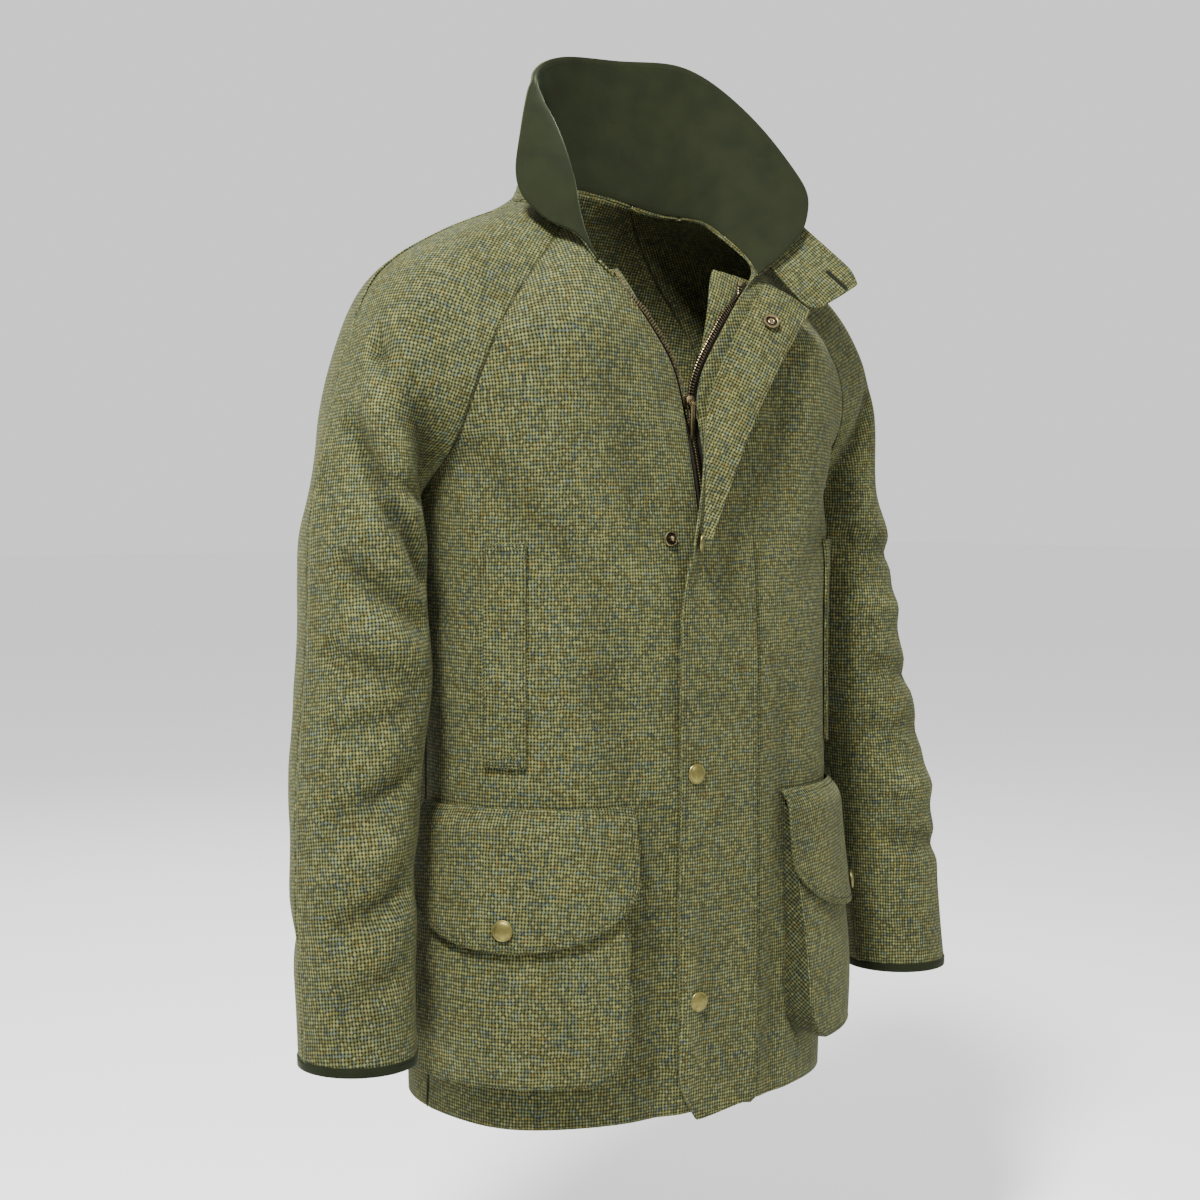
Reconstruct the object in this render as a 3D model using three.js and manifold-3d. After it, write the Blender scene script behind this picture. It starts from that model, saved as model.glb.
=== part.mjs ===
// A man's raglan field coat in tweed, hollow as it is worn, left front over right.
// Millimetres. +Z is up, the front faces -Y and the wearer's left is +X.
// The origin is the middle of the neck, level with the shoulder's highest points.
import * as THREE from "three";
import Module from "manifold-3d";
import { mergeVertices } from "three/addons/utils/BufferGeometryUtils.js";

const { Vector3 } = THREE;

// ---------- driving sizes ----------
const CLOTH = 2; // tweed wall
const GAP = 0.3; // clearance at every seam
const UNDERARM_EASE = 8; // the clearance grows by this share in the fold of the armpit
const HEM_Z = -806;
const ARMPIT_Z = -268;
const ZIP_HALF = 7; // a front's edge to the zip's centre line
const ZIP_X = -4; // the zip's centre line
const BINDING_HEIGHT = 7;
const SNAP_RADIUS = 9;
const SNAP_SIDES = 16;
const PULL_LENGTH = 32;

const FRONT_COLUMNS = 11;
const HALF_BACK_COLUMNS = 8;
const HEAD_ROWS = 12; // neck to armpit, shared by fronts, back and sleeves
const SKIRT_ROWS = 14; // armpit to hem, shared by fronts and back
const ARM_ROWS = 20;
const SLEEVE_COLUMNS = 20;

// The middle of the front's neck edge, the back's neck edge from its middle, and the line
// down the middle of the back between the neck and the armpits' level.
const FRONT_NECK_MIDDLE = [92, -82, -48];
const BACK_NECK = [[0, 85, 28], [36, 79, 25]];
const SPINE = [[0, 108, -40], [0, 130, -120], [0, 140, -200]];

// Horizontal sections of the body: half width, depths before and behind the neck's middle.
const BODY = [
  { z: -268, half: 208, front: 138, back: 140 },
  { z: -320, half: 204, front: 145, back: 139 },
  { z: -400, half: 204, front: 149, back: 135 },
  { z: -500, half: 206, front: 150, back: 131 },
  { z: -600, half: 207, front: 150, back: 129 },
  { z: -700, half: 206, front: 149, back: 129 },
  { z: -806, half: 203, front: 147, back: 130 },
];
const FRONT_SQUARENESS = 2.6;
const BACK_SQUARENESS = 2.3;

// The shoulder from neck to armpit: front raglan seam, crest of the shoulder and arm, back
// raglan seam, and how far the sleeve swells out before (fore) and behind (aft) its crest.
const SHOULDER = [
  { front: [86, -48, -22], crest: [89, 15, 0], back: [66, 64, 16], fore: 4, aft: 5 },
  { front: [101, -57, -38], crest: [141, 14, -18], back: [86, 82, -8], fore: 12, aft: 12 },
  { front: [136, -74, -70], crest: [194, 13, -42], back: [120, 96, -48], fore: 20, aft: 18 },
  { front: [178, -89, -118], crest: [244, 12, -77], back: [165, 102, -102], fore: 26, aft: 25 },
  { front: [203, -92, -168], crest: [272, 8, -134], back: [195, 90, -164], fore: 31, aft: 29 },
  { front: [212, -64, -226], crest: [293, 2, -198], back: [210, 58, -224], fore: 40, aft: 38 },
  { front: [208, 0, -268], crest: [309, -2, -258], back: [208, 0, -268], fore: 70, aft: 70 },
];

// Sections of the sleeve below the armpit: centre, half width, half depth.
const ARM = [
  { z: -304, x: 265, y: -2, across: 51, deep: 70 },
  { z: -364, x: 267, y: -3, across: 53, deep: 69 },
  { z: -436, x: 275, y: -9, across: 55, deep: 66 },
  { z: -520, x: 289, y: -20, across: 56, deep: 61 },
  { z: -590, x: 298, y: -31, across: 53, deep: 57 },
  { z: -642, x: 301, y: -38, across: 51, deep: 54 },
  { z: -700, x: 303, y: -45, across: 50, deep: 52 },
  { z: -730, x: 304, y: -49, across: 50, deep: 51 },
];

// The front edges above the slider: each front opens in a V up to the neck seam.
const V_EDGE = {
  right: [
    [-11, -119, -184],
    [-24, -120, -150],
    [-47, -120, -119],
    [-70, -116, -90],
    [-88, -107, -70],
  ],
  left: [
    [4, -119, -184],
    [12, -119, -154],
    [30, -119, -124],
    [56, -115, -90],
    [83, -107, -67],
  ],
};
const SLIDER_Z = -184;

// The collar at even steps along the neck from the right front end round the back to the
// left front end: the line where it rolls, and its outer edge.
const COLLAR = [
  { roll: [-102, -87, -41], edge: [-123, -50, -25] },
  { roll: [-86, -62, 4], edge: [-127, -30, 10] },
  { roll: [-66, -9, 57], edge: [-106, -4, 56] },
  { roll: [-53, 36, 95], edge: [-69, 38, 110] },
  { roll: [-32, 78, 101], edge: [-30, 78, 144] },
  { roll: [4, 90, 98], edge: [6, 90, 157] },
  { roll: [50, 82, 98], edge: [62, 77, 157] },
  { roll: [92, 46, 84], edge: [108, 32, 149] },
  { roll: [108, -8, 50], edge: [146, -17, 101] },
  { roll: [118, -64, 2], edge: [168, -64, 38] },
  { roll: [120, -104, -42], edge: [172, -90, 0] },
];
const COLLAR_ROWS = 30;
const COLLAR_COLUMNS = 6;
const COLLAR_CORNER = 0.22; // share of the leaf's height taken by its rounded point
const COLLAR_LAYER = 1.6;

// The storm flap over the zip, and its upper part turned back as a lapel.
const FLAP_SEAM_X = 48;
const FLAP_EDGE = [
  { z: -812, x: -39, lift: 5 },
  { z: -700, x: -40, lift: 5 },
  { z: -500, x: -40, lift: 6 },
  { z: -360, x: -38, lift: 8 },
  { z: -300, x: -23, lift: 12 },
  { z: -258, x: -12, lift: 14 },
  { z: -222, x: -2, lift: 12 },
  { z: -200, x: 4, lift: 10 },
];
const LAPEL = [
  { roll: [-32, -174, -303], edge: [-26, -181, -303] },
  { roll: [-14, -154, -258], edge: [7, -166, -258] },
  { roll: [-3, -142, -220], edge: [28, -160, -220] },
  { roll: [5, -134, -184], edge: [50, -155, -184] },
  { roll: [24, -131, -148], edge: [84, -148, -140] },
  { roll: [48, -128, -112], edge: [108, -142, -112] },
  { roll: [84, -118, -74], edge: [124, -134, -98] },
];
const TAB = {
  base: [[103, -99, -57], [155, -79, -10]],
  end: [[135, -121, -99], [197, -124, -66]],
};

// Pockets, placed by the distance round the body from the centre front.
const POCKET = { from: 90, to: 286, top: -546, bottom: -766, corner: 46, shallow: 9, deep: 27 };
const FLAP = { from: 84, to: 290, top: -530, sides: -612, middle: -648 };
const WELT = { from: 176, to: 214, top: -306, bottom: -496, thick: 3 };

// Deep creases and swells of the sleeve: place along and round it, reach each way, height.
const SLEEVE_FOLDS = [
  { z: -215, round: 0.2, alongReach: 44, roundReach: 0.1, height: -4 },
  { z: -345, round: 0.16, alongReach: 24, roundReach: 0.12, height: -5 },
  { z: -420, round: 0.12, alongReach: 26, roundReach: 0.12, height: 4 },
  { z: -505, round: 0.15, alongReach: 20, roundReach: 0.14, height: -5 },
  { z: -585, round: 0.14, alongReach: 15, roundReach: 0.16, height: -6 },
  { z: -622, round: 0.16, alongReach: 15, roundReach: 0.16, height: 3 },
  { z: -560, round: 0.7, alongReach: 20, roundReach: 0.16, height: -5 },
  { z: -470, round: 0.66, alongReach: 26, roundReach: 0.14, height: 4 },
];

// How much further each arm hangs from the body than the ARM table says, at the elbow.
const ARM_SPREAD = { right: -7, left: 12 };

// ---------- materials ----------
const tweed = (tint) =>
  new THREE.MeshStandardMaterial({ color: tint, roughness: 0.95, metalness: 0 });
const moleskin = () =>
  new THREE.MeshStandardMaterial({ color: 0x2c3320, roughness: 0.9, metalness: 0 });
const brass = () =>
  new THREE.MeshStandardMaterial({ color: 0x8c7a4c, roughness: 0.4, metalness: 0.9 });
const zipTape = () =>
  new THREE.MeshStandardMaterial({ color: 0x4a4032, roughness: 0.9, metalness: 0 });

const coat = new THREE.Group();

// Where the hem's waves start on each front.
const WAVE_PHASE = { left: 0.4, right: 2.9 };

// ---------- small helpers ----------
const point = ([x, y, z]) => new Vector3(x, y, z);
const lerp = (a, b, t) => a + (b - a) * t;
const clamp01 = (t) => Math.min(1, Math.max(0, t));
const smooth = (t) => clamp01(t) ** 2 * (3 - 2 * clamp01(t));
const mirrored = (p) => new Vector3(-p.x, p.y, p.z);
const steps = (n) => Array.from({ length: n + 1 }, (_, i) => i / n);

// How far a quarter circle of some radius has drawn in at a height above its foot.
function roundedCorner(height, radius) {
  return height < radius ? radius - Math.sqrt(radius ** 2 - (radius - height) ** 2) : 0;
}

// A smooth line through points, sampled evenly by its parameter.
function spline(points, n) {
  const curve = new THREE.CatmullRomCurve3(points, false, "centripetal");
  return steps(n).map((t) => curve.getPoint(t));
}

// A named column of a table that is ordered by falling z, read at any z.
function column(table, name, z) {
  let i = 0;
  while (i < table.length - 2 && z < table[i + 1].z) i += 1;
  const [a, b] = [table[i], table[i + 1]];
  const t = clamp01((z - a.z) / (b.z - a.z));
  const before = table[Math.max(0, i - 1)][name];
  const after = table[Math.min(table.length - 1, i + 2)][name];
  const slopeA = (b[name] - before) / 2;
  const slopeB = (after - a[name]) / 2;
  const [t2, t3] = [t * t, t * t * t];
  return (
    a[name] * (2 * t3 - 3 * t2 + 1) +
    slopeA * (t3 - 2 * t2 + t) +
    b[name] * (3 * t2 - 2 * t3) +
    slopeB * (t3 - t2)
  );
}

// ---------- cloth walls ----------
// A grid of points with the outward normal at each one. Rows run along the piece, columns
// across it. A closed row is a tube: its last column repeats its first.
function surface(rows, closedFrom = Infinity) {
  const last = rows[0].length - 1;
  const normals = rows.map((row, i) =>
    row.map((p, j) => {
      const closed = i >= closedFrom;
      const left = j > 0 ? row[j - 1] : closed ? row[last - 1] : row[0];
      const right = j < last ? row[j + 1] : closed ? row[1] : row[last];
      const up = rows[Math.max(0, i - 1)][j];
      const down = rows[Math.min(rows.length - 1, i + 1)][j];
      const across = right.clone().sub(left);
      const along = down.clone().sub(up);
      return along.cross(across).normalize();
    }),
  );
  return { rows, normals, closedFrom };
}

// The two pieces that meet at a seam turn their edges through the same angle.
function shareSeam(first, second) {
  first.forEach((normal, i) => {
    const both = normal.clone().add(second[i]).normalize();
    normal.copy(both);
    second[i].copy(both);
  });
}

// Two triangles for each square of a patch whose corners turn anticlockwise from outside.
function quad(triangles, a, b, c, d) {
  triangles.push(a, b, c, a, c, d);
}

function meshOf(name, triangles, material) {
  const geometry = new THREE.BufferGeometry().setFromPoints(triangles);
  geometry.computeVertexNormals();
  const mesh = new THREE.Mesh(geometry, material);
  mesh.name = name;
  coat.add(mesh);
  return mesh;
}

// A closed wall between an outer and an inner grid of the same size.
function wallBetween(name, outer, inner, closedFrom, material) {
  const triangles = [];
  const [rowEnd, colEnd] = [outer.length - 1, outer[0].length - 1];
  for (let i = 0; i < rowEnd; i += 1)
    for (let j = 0; j < colEnd; j += 1) {
      quad(triangles, outer[i][j], outer[i + 1][j], outer[i + 1][j + 1], outer[i][j + 1]);
      quad(triangles, inner[i][j], inner[i][j + 1], inner[i + 1][j + 1], inner[i + 1][j]);
    }
  for (let j = 0; j < colEnd; j += 1) {
    quad(triangles, outer[0][j], outer[0][j + 1], inner[0][j + 1], inner[0][j]);
    quad(triangles, outer[rowEnd][j + 1], outer[rowEnd][j], inner[rowEnd][j], inner[rowEnd][j + 1]);
  }
  for (let i = 0; i < Math.min(rowEnd, closedFrom); i += 1) {
    quad(triangles, outer[i + 1][0], outer[i][0], inner[i][0], inner[i + 1][0]);
    quad(triangles, outer[i][colEnd], outer[i + 1][colEnd], inner[i + 1][colEnd], inner[i][colEnd]);
  }
  return meshOf(name, triangles, material);
}

// Points moved out along the normals, and drawn back from the piece's edges by the gap.
function offsetGrid(sheet, distance, edgeGap = GAP / 2) {
  const { rows, normals, closedFrom, easeFirst = 1, easeLast = 1 } = sheet;
  const [rowEnd, colEnd] = [rows.length - 1, rows[0].length - 1];
  return rows.map((row, i) =>
    row.map((p, j) => {
      const moved = p.clone().addScaledVector(normals[i][j], distance);
      const towards = new Vector3();
      if (i === 0) towards.add(rows[1][j].clone().sub(p).normalize());
      if (i === rowEnd) towards.add(rows[rowEnd - 1][j].clone().sub(p).normalize());
      const ease = (eased) => 1 + eased * UNDERARM_EASE * clamp01(1 - Math.abs(i - HEAD_ROWS) / 3);
      const side = new Vector3();
      if (i < closedFrom && j === 0) side.copy(row[1]).sub(p).setLength(ease(easeFirst));
      if (i < closedFrom && j === colEnd)
        side.copy(row[colEnd - 1]).sub(p).setLength(ease(easeLast));
      return moved.addScaledVector(towards.add(side), edgeGap);
    }),
  );
}

// A sheet of cloth whose outer face is the surface itself.
function cloth(name, sheet, material, { thick = CLOTH, out = 0 } = {}) {
  const outer = offsetGrid(sheet, out);
  const inner = offsetGrid(sheet, out - thick);
  return wallBetween(name, outer, inner, sheet.closedFrom, material);
}

// ---------- body sections ----------
// A point of the body's section at height z, at an angle from the centre front (0) round
// the wearer's left side (a quarter turn) to the centre back.
function sectionPoint(z, angle) {
  const ahead = Math.cos(angle);
  const power = 2 / (ahead > 0 ? FRONT_SQUARENESS : BACK_SQUARENESS);
  const depth = ahead > 0 ? column(BODY, "front", z) : column(BODY, "back", z);
  const x = column(BODY, "half", z) * Math.abs(Math.sin(angle)) ** power;
  return new Vector3(x, -Math.sign(ahead) * depth * Math.abs(ahead) ** power, z);
}

// Even steps along a quarter of a section, from one angle to another.
const ARC_SAMPLES = 60;
function arc(z, fromAngle, toAngle) {
  const samples = steps(ARC_SAMPLES).map((t) => sectionPoint(z, lerp(fromAngle, toAngle, t)));
  const lengths = [0];
  for (let i = 1; i <= ARC_SAMPLES; i += 1)
    lengths.push(lengths[i - 1] + samples[i].distanceTo(samples[i - 1]));
  const total = lengths[ARC_SAMPLES];
  const at = (length) => {
    let i = 1;
    while (i < ARC_SAMPLES && lengths[i] < length) i += 1;
    const t = (length - lengths[i - 1]) / (lengths[i] - lengths[i - 1]);
    return samples[i - 1].clone().lerp(samples[i], t);
  };
  return { at, total };
}
const frontArc = (z) => arc(z, 0, Math.PI / 2);
const backArc = (z) => arc(z, Math.PI, Math.PI / 2);

// Soft waves that deepen towards the hem, as cloth hangs from the chest.
function hemWave(length, z, phase) {
  const depth = smooth((-420 - z) / 380);
  return depth * (3.2 * Math.sin(length / 34 + phase) + 1.8 * Math.sin(length / 19 - phase));
}

// The wave of one front, which dies out at the zip and at the side seam.
function frontWave(length, total, z, phase) {
  const between = clamp01((length - ZIP_HALF) / (total - ZIP_HALF));
  return hemWave(length, z, phase) * Math.sin(Math.PI * between);
}

const skirtZ = (i) => lerp(ARMPIT_Z, HEM_Z, i / SKIRT_ROWS);

// ---------- sleeves ----------
function swollen(a, b, towards, swell) {
  const chord = b.clone().sub(a).normalize();
  const out = towards.clone().addScaledVector(chord, -towards.dot(chord)).normalize();
  return a.clone().lerp(b, 0.5).addScaledVector(out, swell);
}

function shoulderRow({ front, crest, back: behind, fore, aft }) {
  const [f, c, b] = [point(front), point(crest), point(behind)];
  const ahead = swollen(f, c, new Vector3(0, -1, 0), fore);
  const astern = swollen(b, c, new Vector3(0, 1, 0), aft);
  return spline([f, ahead, c, astern, b], SLEEVE_COLUMNS);
}

function armRow({ z, x, y, across, deep }) {
  return steps(SLEEVE_COLUMNS).map((t) => {
    const turn = 2 * Math.PI * t;
    return new Vector3(x - across * Math.cos(turn), y - deep * Math.sin(turn), z);
  });
}

function foldHeight(z, round) {
  return SLEEVE_FOLDS.reduce((sum, fold) => {
    const along = (z - fold.z) / fold.alongReach;
    const apart = round - fold.round;
    const across = (apart - Math.round(apart)) / fold.roundReach;
    return sum + fold.height * Math.exp(-along * along - across * across);
  }, 0);
}

// Rows of the sleeve on the wearer's left, from the neck to the cuff.
function sleeveRows(spread) {
  const controls = [...SHOULDER.map(shoulderRow), ...ARM.map(armRow)];
  const head = SHOULDER.length - 1;
  const total = controls.length - 1;
  const places = [
    ...steps(HEAD_ROWS).map((t) => (t * head) / total),
    ...steps(ARM_ROWS).slice(1).map((t) => lerp(head, total, t) / total),
  ];
  const curves = steps(SLEEVE_COLUMNS).map(
    (_, j) => new THREE.CatmullRomCurve3(controls.map((row) => row[j]), false, "catmullrom", 0.5),
  );
  const rows = places.map((t) => curves.map((curve) => curve.getPoint(t)));
  rows.slice(HEAD_ROWS).forEach((row) => {
    row[0].lerp(row[SLEEVE_COLUMNS], 0.5);
    row[SLEEVE_COLUMNS].copy(row[0]);
  });
  const plain = surface(rows, HEAD_ROWS);
  return rows.map((row, i) =>
    row.map((p, j) => {
      const round = j / SLEEVE_COLUMNS;
      const held = i > HEAD_ROWS ? 1 : Math.sin(Math.PI * round);
      const bent = p.clone().addScaledVector(plain.normals[i][j], held * foldHeight(p.z, round));
      return bent.setX(bent.x + spread * smooth((ARMPIT_Z - p.z) / 260));
    }),
  );
}

// ---------- fronts and back ----------
// A patch between four edges: the upper part of a front or of half the back.
function patch(top, bottom, inner, outer) {
  const [rowEnd, colEnd] = [inner.length - 1, top.length - 1];
  return inner.map((_, i) =>
    top.map((_, j) => {
      const [v, u] = [i / rowEnd, j / colEnd];
      const corners = top[0].clone().multiplyScalar((1 - v) * (1 - u));
      corners.addScaledVector(top[colEnd], (1 - v) * u);
      corners.addScaledVector(bottom[0], v * (1 - u));
      corners.addScaledVector(bottom[colEnd], v * u);
      return top[j].clone().multiplyScalar(1 - v)
        .addScaledVector(bottom[j], v)
        .addScaledVector(inner[i], 1 - u)
        .addScaledVector(outer[i], u)
        .sub(corners);
    }),
  );
}

// The rows about the armpit's level ease into each other, away from the outer seam.
const EASED_ROWS = 5;
const EASING_PASSES = 12;
function easeArmpitLevel(rows, firstColumn) {
  const end = rows[0].length - 1;
  for (let pass = 0; pass < EASING_PASSES; pass += 1)
    for (let i = HEAD_ROWS - EASED_ROWS; i <= HEAD_ROWS + EASED_ROWS; i += 1)
      for (let j = firstColumn; j < end; j += 1) {
        const middle = rows[i - 1][j].clone().lerp(rows[i + 1][j], 0.5);
        const share = 0.5 * smooth((end - j) / 3) * (firstColumn ? smooth(j / 2) : 1);
        rows[i][j].setX(lerp(rows[i][j].x, middle.x, share));
        rows[i][j].setY(lerp(rows[i][j].y, middle.y, share));
      }
  return rows;
}

// One front, drawn on the wearer's left and mirrored for the right.
function frontRows(edgeOfV, seamPoints, phase) {
  const startAt = Math.abs(edgeOfV[0].x);
  const skirt = steps(SKIRT_ROWS).map((_, i) => {
    const z = skirtZ(i);
    const section = frontArc(z);
    const first = lerp(startAt, ZIP_HALF, smooth((-200 - z) / 120));
    return steps(FRONT_COLUMNS).map((u) => {
      const length = lerp(first, section.total, u);
      const wave = frontWave(length, section.total, z, phase);
      const p = section.at(length);
      return p.addScaledVector(new Vector3(p.x, p.y, 0).normalize(), wave);
    });
  });
  const topOfNeck = seamPoints[0];
  const neckEnd = edgeOfV[edgeOfV.length - 1];
  const top = spline([neckEnd, point(FRONT_NECK_MIDDLE), topOfNeck], FRONT_COLUMNS);
  const inner = spline([...edgeOfV].reverse().concat(skirt[0][0]), HEAD_ROWS);
  const upper = patch(top, skirt[0], inner, seamPoints);
  return easeArmpitLevel([...upper, ...skirt.slice(1)], 1);
}

function halfBackRows(seamPoints) {
  const skirt = steps(SKIRT_ROWS).map((_, i) => {
    const z = skirtZ(i);
    const section = backArc(z);
    return steps(HALF_BACK_COLUMNS).map((u) => {
      const length = section.total * u;
      const p = section.at(length);
      const wave = hemWave(length, z, 2.1) * Math.sin(Math.PI * u);
      return p.addScaledVector(new Vector3(p.x, p.y, 0).normalize(), wave);
    });
  });
  const top = spline([...BACK_NECK.map(point), seamPoints[0]], HALF_BACK_COLUMNS);
  const spine = [top[0], ...SPINE.map(point), skirt[0][0]];
  const upper = patch(top, skirt[0], spline(spine, HEAD_ROWS), seamPoints);
  return easeArmpitLevel([...upper, ...skirt.slice(1)], 0);
}

const mirrorRows = (rows) => rows.map((row) => row.map(mirrored).reverse());
const lastOf = (row) => row[row.length - 1];

// Sleeves first: their raglan seams are the outer edges of the fronts and the back.
const leftSleeve = surface(sleeveRows(ARM_SPREAD.left), HEAD_ROWS);
const rightSleeve = surface(mirrorRows(sleeveRows(ARM_SPREAD.right)), HEAD_ROWS);
const headRows = sleeveRows(0).slice(0, HEAD_ROWS + 1);
const frontSeam = headRows.map((row) => row[0]);
const backSeam = headRows.map(lastOf);

const rightV = V_EDGE.right.map((p) => mirrored(point(p)));
const leftV = V_EDGE.left.map(point);
const leftFront = surface(frontRows(leftV, frontSeam, WAVE_PHASE.left));
const rightFront = surface(mirrorRows(frontRows(rightV, frontSeam, WAVE_PHASE.right)));
const halfBack = halfBackRows(backSeam);
const back = surface(halfBack.map((row) => [...[...row].reverse(), ...row.slice(1).map(mirrored)]));

// Seams: raglans, then sides.
const head = (sheet, pick) => sheet.normals.slice(0, HEAD_ROWS + 1).map(pick);
const skirtOf = (sheet, pick) => sheet.normals.slice(HEAD_ROWS).map(pick);
const firstOf = (row) => row[0];
shareSeam(head(leftFront, lastOf), head(leftSleeve, firstOf));
shareSeam(head(back, firstOf), head(leftSleeve, lastOf));
shareSeam(head(rightFront, firstOf), head(rightSleeve, lastOf));
shareSeam(head(back, lastOf), head(rightSleeve, firstOf));
shareSeam(skirtOf(leftFront, lastOf), skirtOf(back, firstOf));
shareSeam(skirtOf(rightFront, firstOf), skirtOf(back, lastOf));
const DOWN = new Vector3(0, 0, -1);
for (const sheet of [leftFront, rightFront, back, leftSleeve, rightSleeve]) {
  const row = sheet.normals[HEAD_ROWS];
  if (sheet !== rightFront) lastOf(row).copy(DOWN);
  if (sheet !== leftFront) firstOf(row).copy(DOWN);
}

cloth("back", back, tweed(0x5d6240));
cloth("left_front", leftFront, tweed(0x5f6442));
cloth("right_front", rightFront, tweed(0x5f6442));

// Each sleeve is cut in two, with a seam along the top of the arm and one under it.
function halfOf(sheet, from, to) {
  const cut = (grid) => grid.map((row) => row.slice(from, to + 1));
  const half = { rows: cut(sheet.rows), normals: cut(sheet.normals), closedFrom: Infinity };
  return { ...half, easeFirst: from === 0 ? 1 : 0, easeLast: from === 0 ? 0 : 1 };
}
const TOP_SEAM = SLEEVE_COLUMNS / 2;
for (const [word, sheet, first, second] of [
  ["left", leftSleeve, "front", "back"],
  ["right", rightSleeve, "back", "front"],
]) {
  cloth(`${word}_sleeve_${first}`, halfOf(sheet, 0, TOP_SEAM), tweed(0x595e3e));
  cloth(`${word}_sleeve_${second}`, halfOf(sheet, TOP_SEAM, SLEEVE_COLUMNS), tweed(0x595e3e));
}

// ---------- collar ----------
// A leaf's edge is drawn in towards its rounded points at the two front ends.
function leafReach(along) {
  const nearEnd = clamp01((Math.abs(2 * along - 1) - 0.86) / 0.14);
  return 1 - COLLAR_CORNER * (1 - Math.sqrt(1 - nearEnd ** 2));
}

function collarRows() {
  const neckline = [rightFront, rightSleeve, back, leftSleeve, leftFront].flatMap(
    (sheet) => [...sheet.rows[0]].reverse().slice(1),
  );
  const seams = new THREE.CatmullRomCurve3(neckline).getSpacedPoints(COLLAR_ROWS);
  const [rolls, edges] = ["roll", "edge"].map((name) =>
    spline(COLLAR.map((station) => point(station[name])), COLLAR_ROWS),
  );
  return steps(COLLAR_ROWS).map((along, i) => {
    const [seam, roll, edge] = [seams[i], rolls[i], edges[i]];
    const curve = new THREE.CatmullRomCurve3([seam, roll, edge], false, "centripetal");
    return steps(COLLAR_COLUMNS).map((t) => curve.getPoint(t * leafReach(along)));
  });
}

// The normals point towards the neck, so the top collar lies on their side.
const NECK_CLEARANCE = 1.2; // the collar's foot stands off the neck edge of the panels
const collar = surface(collarRows());
collar.rows.forEach((row, i) => {
  const rise = row[1].clone().sub(row[0]).setLength(NECK_CLEARANCE);
  row[0].add(rise);
  collar.normals[i][0].copy(collar.normals[i][1]);
});
const collarSide = (out) => ({ thick: COLLAR_LAYER, out });
cloth("top_collar", collar, moleskin(), collarSide(COLLAR_LAYER + GAP / 2));
cloth("under_collar", collar, tweed(0x5f6442), collarSide(-GAP / 2));

// ---------- storm flap, lapel, tab ----------
const FLAP_ROWS = 22;
const PLACKET_ACROSS = [0, 0.05, 0.1, 0.155, 0.3, 0.47, 0.65, 0.83, 1];
const FLAP_CORNER = 34;
const FLAP_THICK = 2.6;
const FLAP_HEM_RISE = 7; // the seam's side of its hem is level with the coat's own
// Where the lapel starts, the free edge turns forward and stands out past its own line.
const BREAK = { z: -303, reach: 30, share: 0.155, rise: 12, out: 7 };

// The front of the closed coat at x and z, whichever side of the centre x is on. Above the
// armpits' level its depth falls from that of the chest to that of the slider.
const CHEST_DEPTH = { low: 138, high: 119, reach: ARMPIT_Z - SLIDER_Z };
function frontPoint(x, z) {
  const half = column(BODY, "half", z);
  const { low, high, reach } = CHEST_DEPTH;
  const upper = lerp(low, high, clamp01((ARMPIT_Z - z) / reach));
  const depth = z > ARMPIT_Z ? upper : column(BODY, "front", z);
  const y = -depth * (1 - (Math.abs(x) / half) ** FRONT_SQUARENESS) ** (1 / FRONT_SQUARENESS);
  return new Vector3(x, y, z);
}

const flapRows = steps(FLAP_ROWS).map((t) => {
  const z = lerp(FLAP_EDGE[FLAP_EDGE.length - 1].z, FLAP_EDGE[0].z, t);
  const byHeight = [...FLAP_EDGE].reverse();
  const edge = column(byHeight, "x", z);
  const lift = column(byHeight, "lift", z);
  const rounding = roundedCorner(z - FLAP_EDGE[0].z, FLAP_CORNER);
  const turned = Math.exp(-(((z - BREAK.z) / BREAK.reach) ** 2));
  return PLACKET_ACROSS.map((u) => {
    const x = lerp(edge + rounding * 0.6 - BREAK.out * turned, FLAP_SEAM_X, u);
    const p = frontPoint(x, z);
    const seamLift = 3.6 + 12 * smooth((z - ARMPIT_Z + 20) / 80);
    const wave = frontWave(Math.abs(x), 300, z, WAVE_PHASE.left) * smooth(u);
    const curl = BREAK.rise * turned * clamp01(1 - u / BREAK.share);
    p.z += FLAP_HEM_RISE * smooth(u) * t ** 8;
    return p.setY(p.y - lerp(lift, seamLift, smooth(u)) - wave - curl);
  });
});
cloth("front_placket", surface(flapRows), tweed(0x61663f), { thick: FLAP_THICK });

const LAPEL_ROWS = 14;
const LAPEL_COLUMNS = 6;
function lapelRows() {
  const roll = spline(LAPEL.map(({ roll: r }) => point(r)), LAPEL_ROWS);
  const edge = spline(LAPEL.map(({ edge: e }) => point(e)), LAPEL_ROWS);
  return roll.map((from, i) => {
    const to = edge[i];
    const width = from.distanceTo(to);
    const middle = from.clone().lerp(to, 0.45).add(new Vector3(0, -0.07 * width, 0.02 * width));
    return spline([from, middle, to], LAPEL_COLUMNS);
  }).reverse();
}
cloth("lapel", surface(lapelRows()), tweed(0x646a46), { thick: FLAP_THICK });

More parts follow.
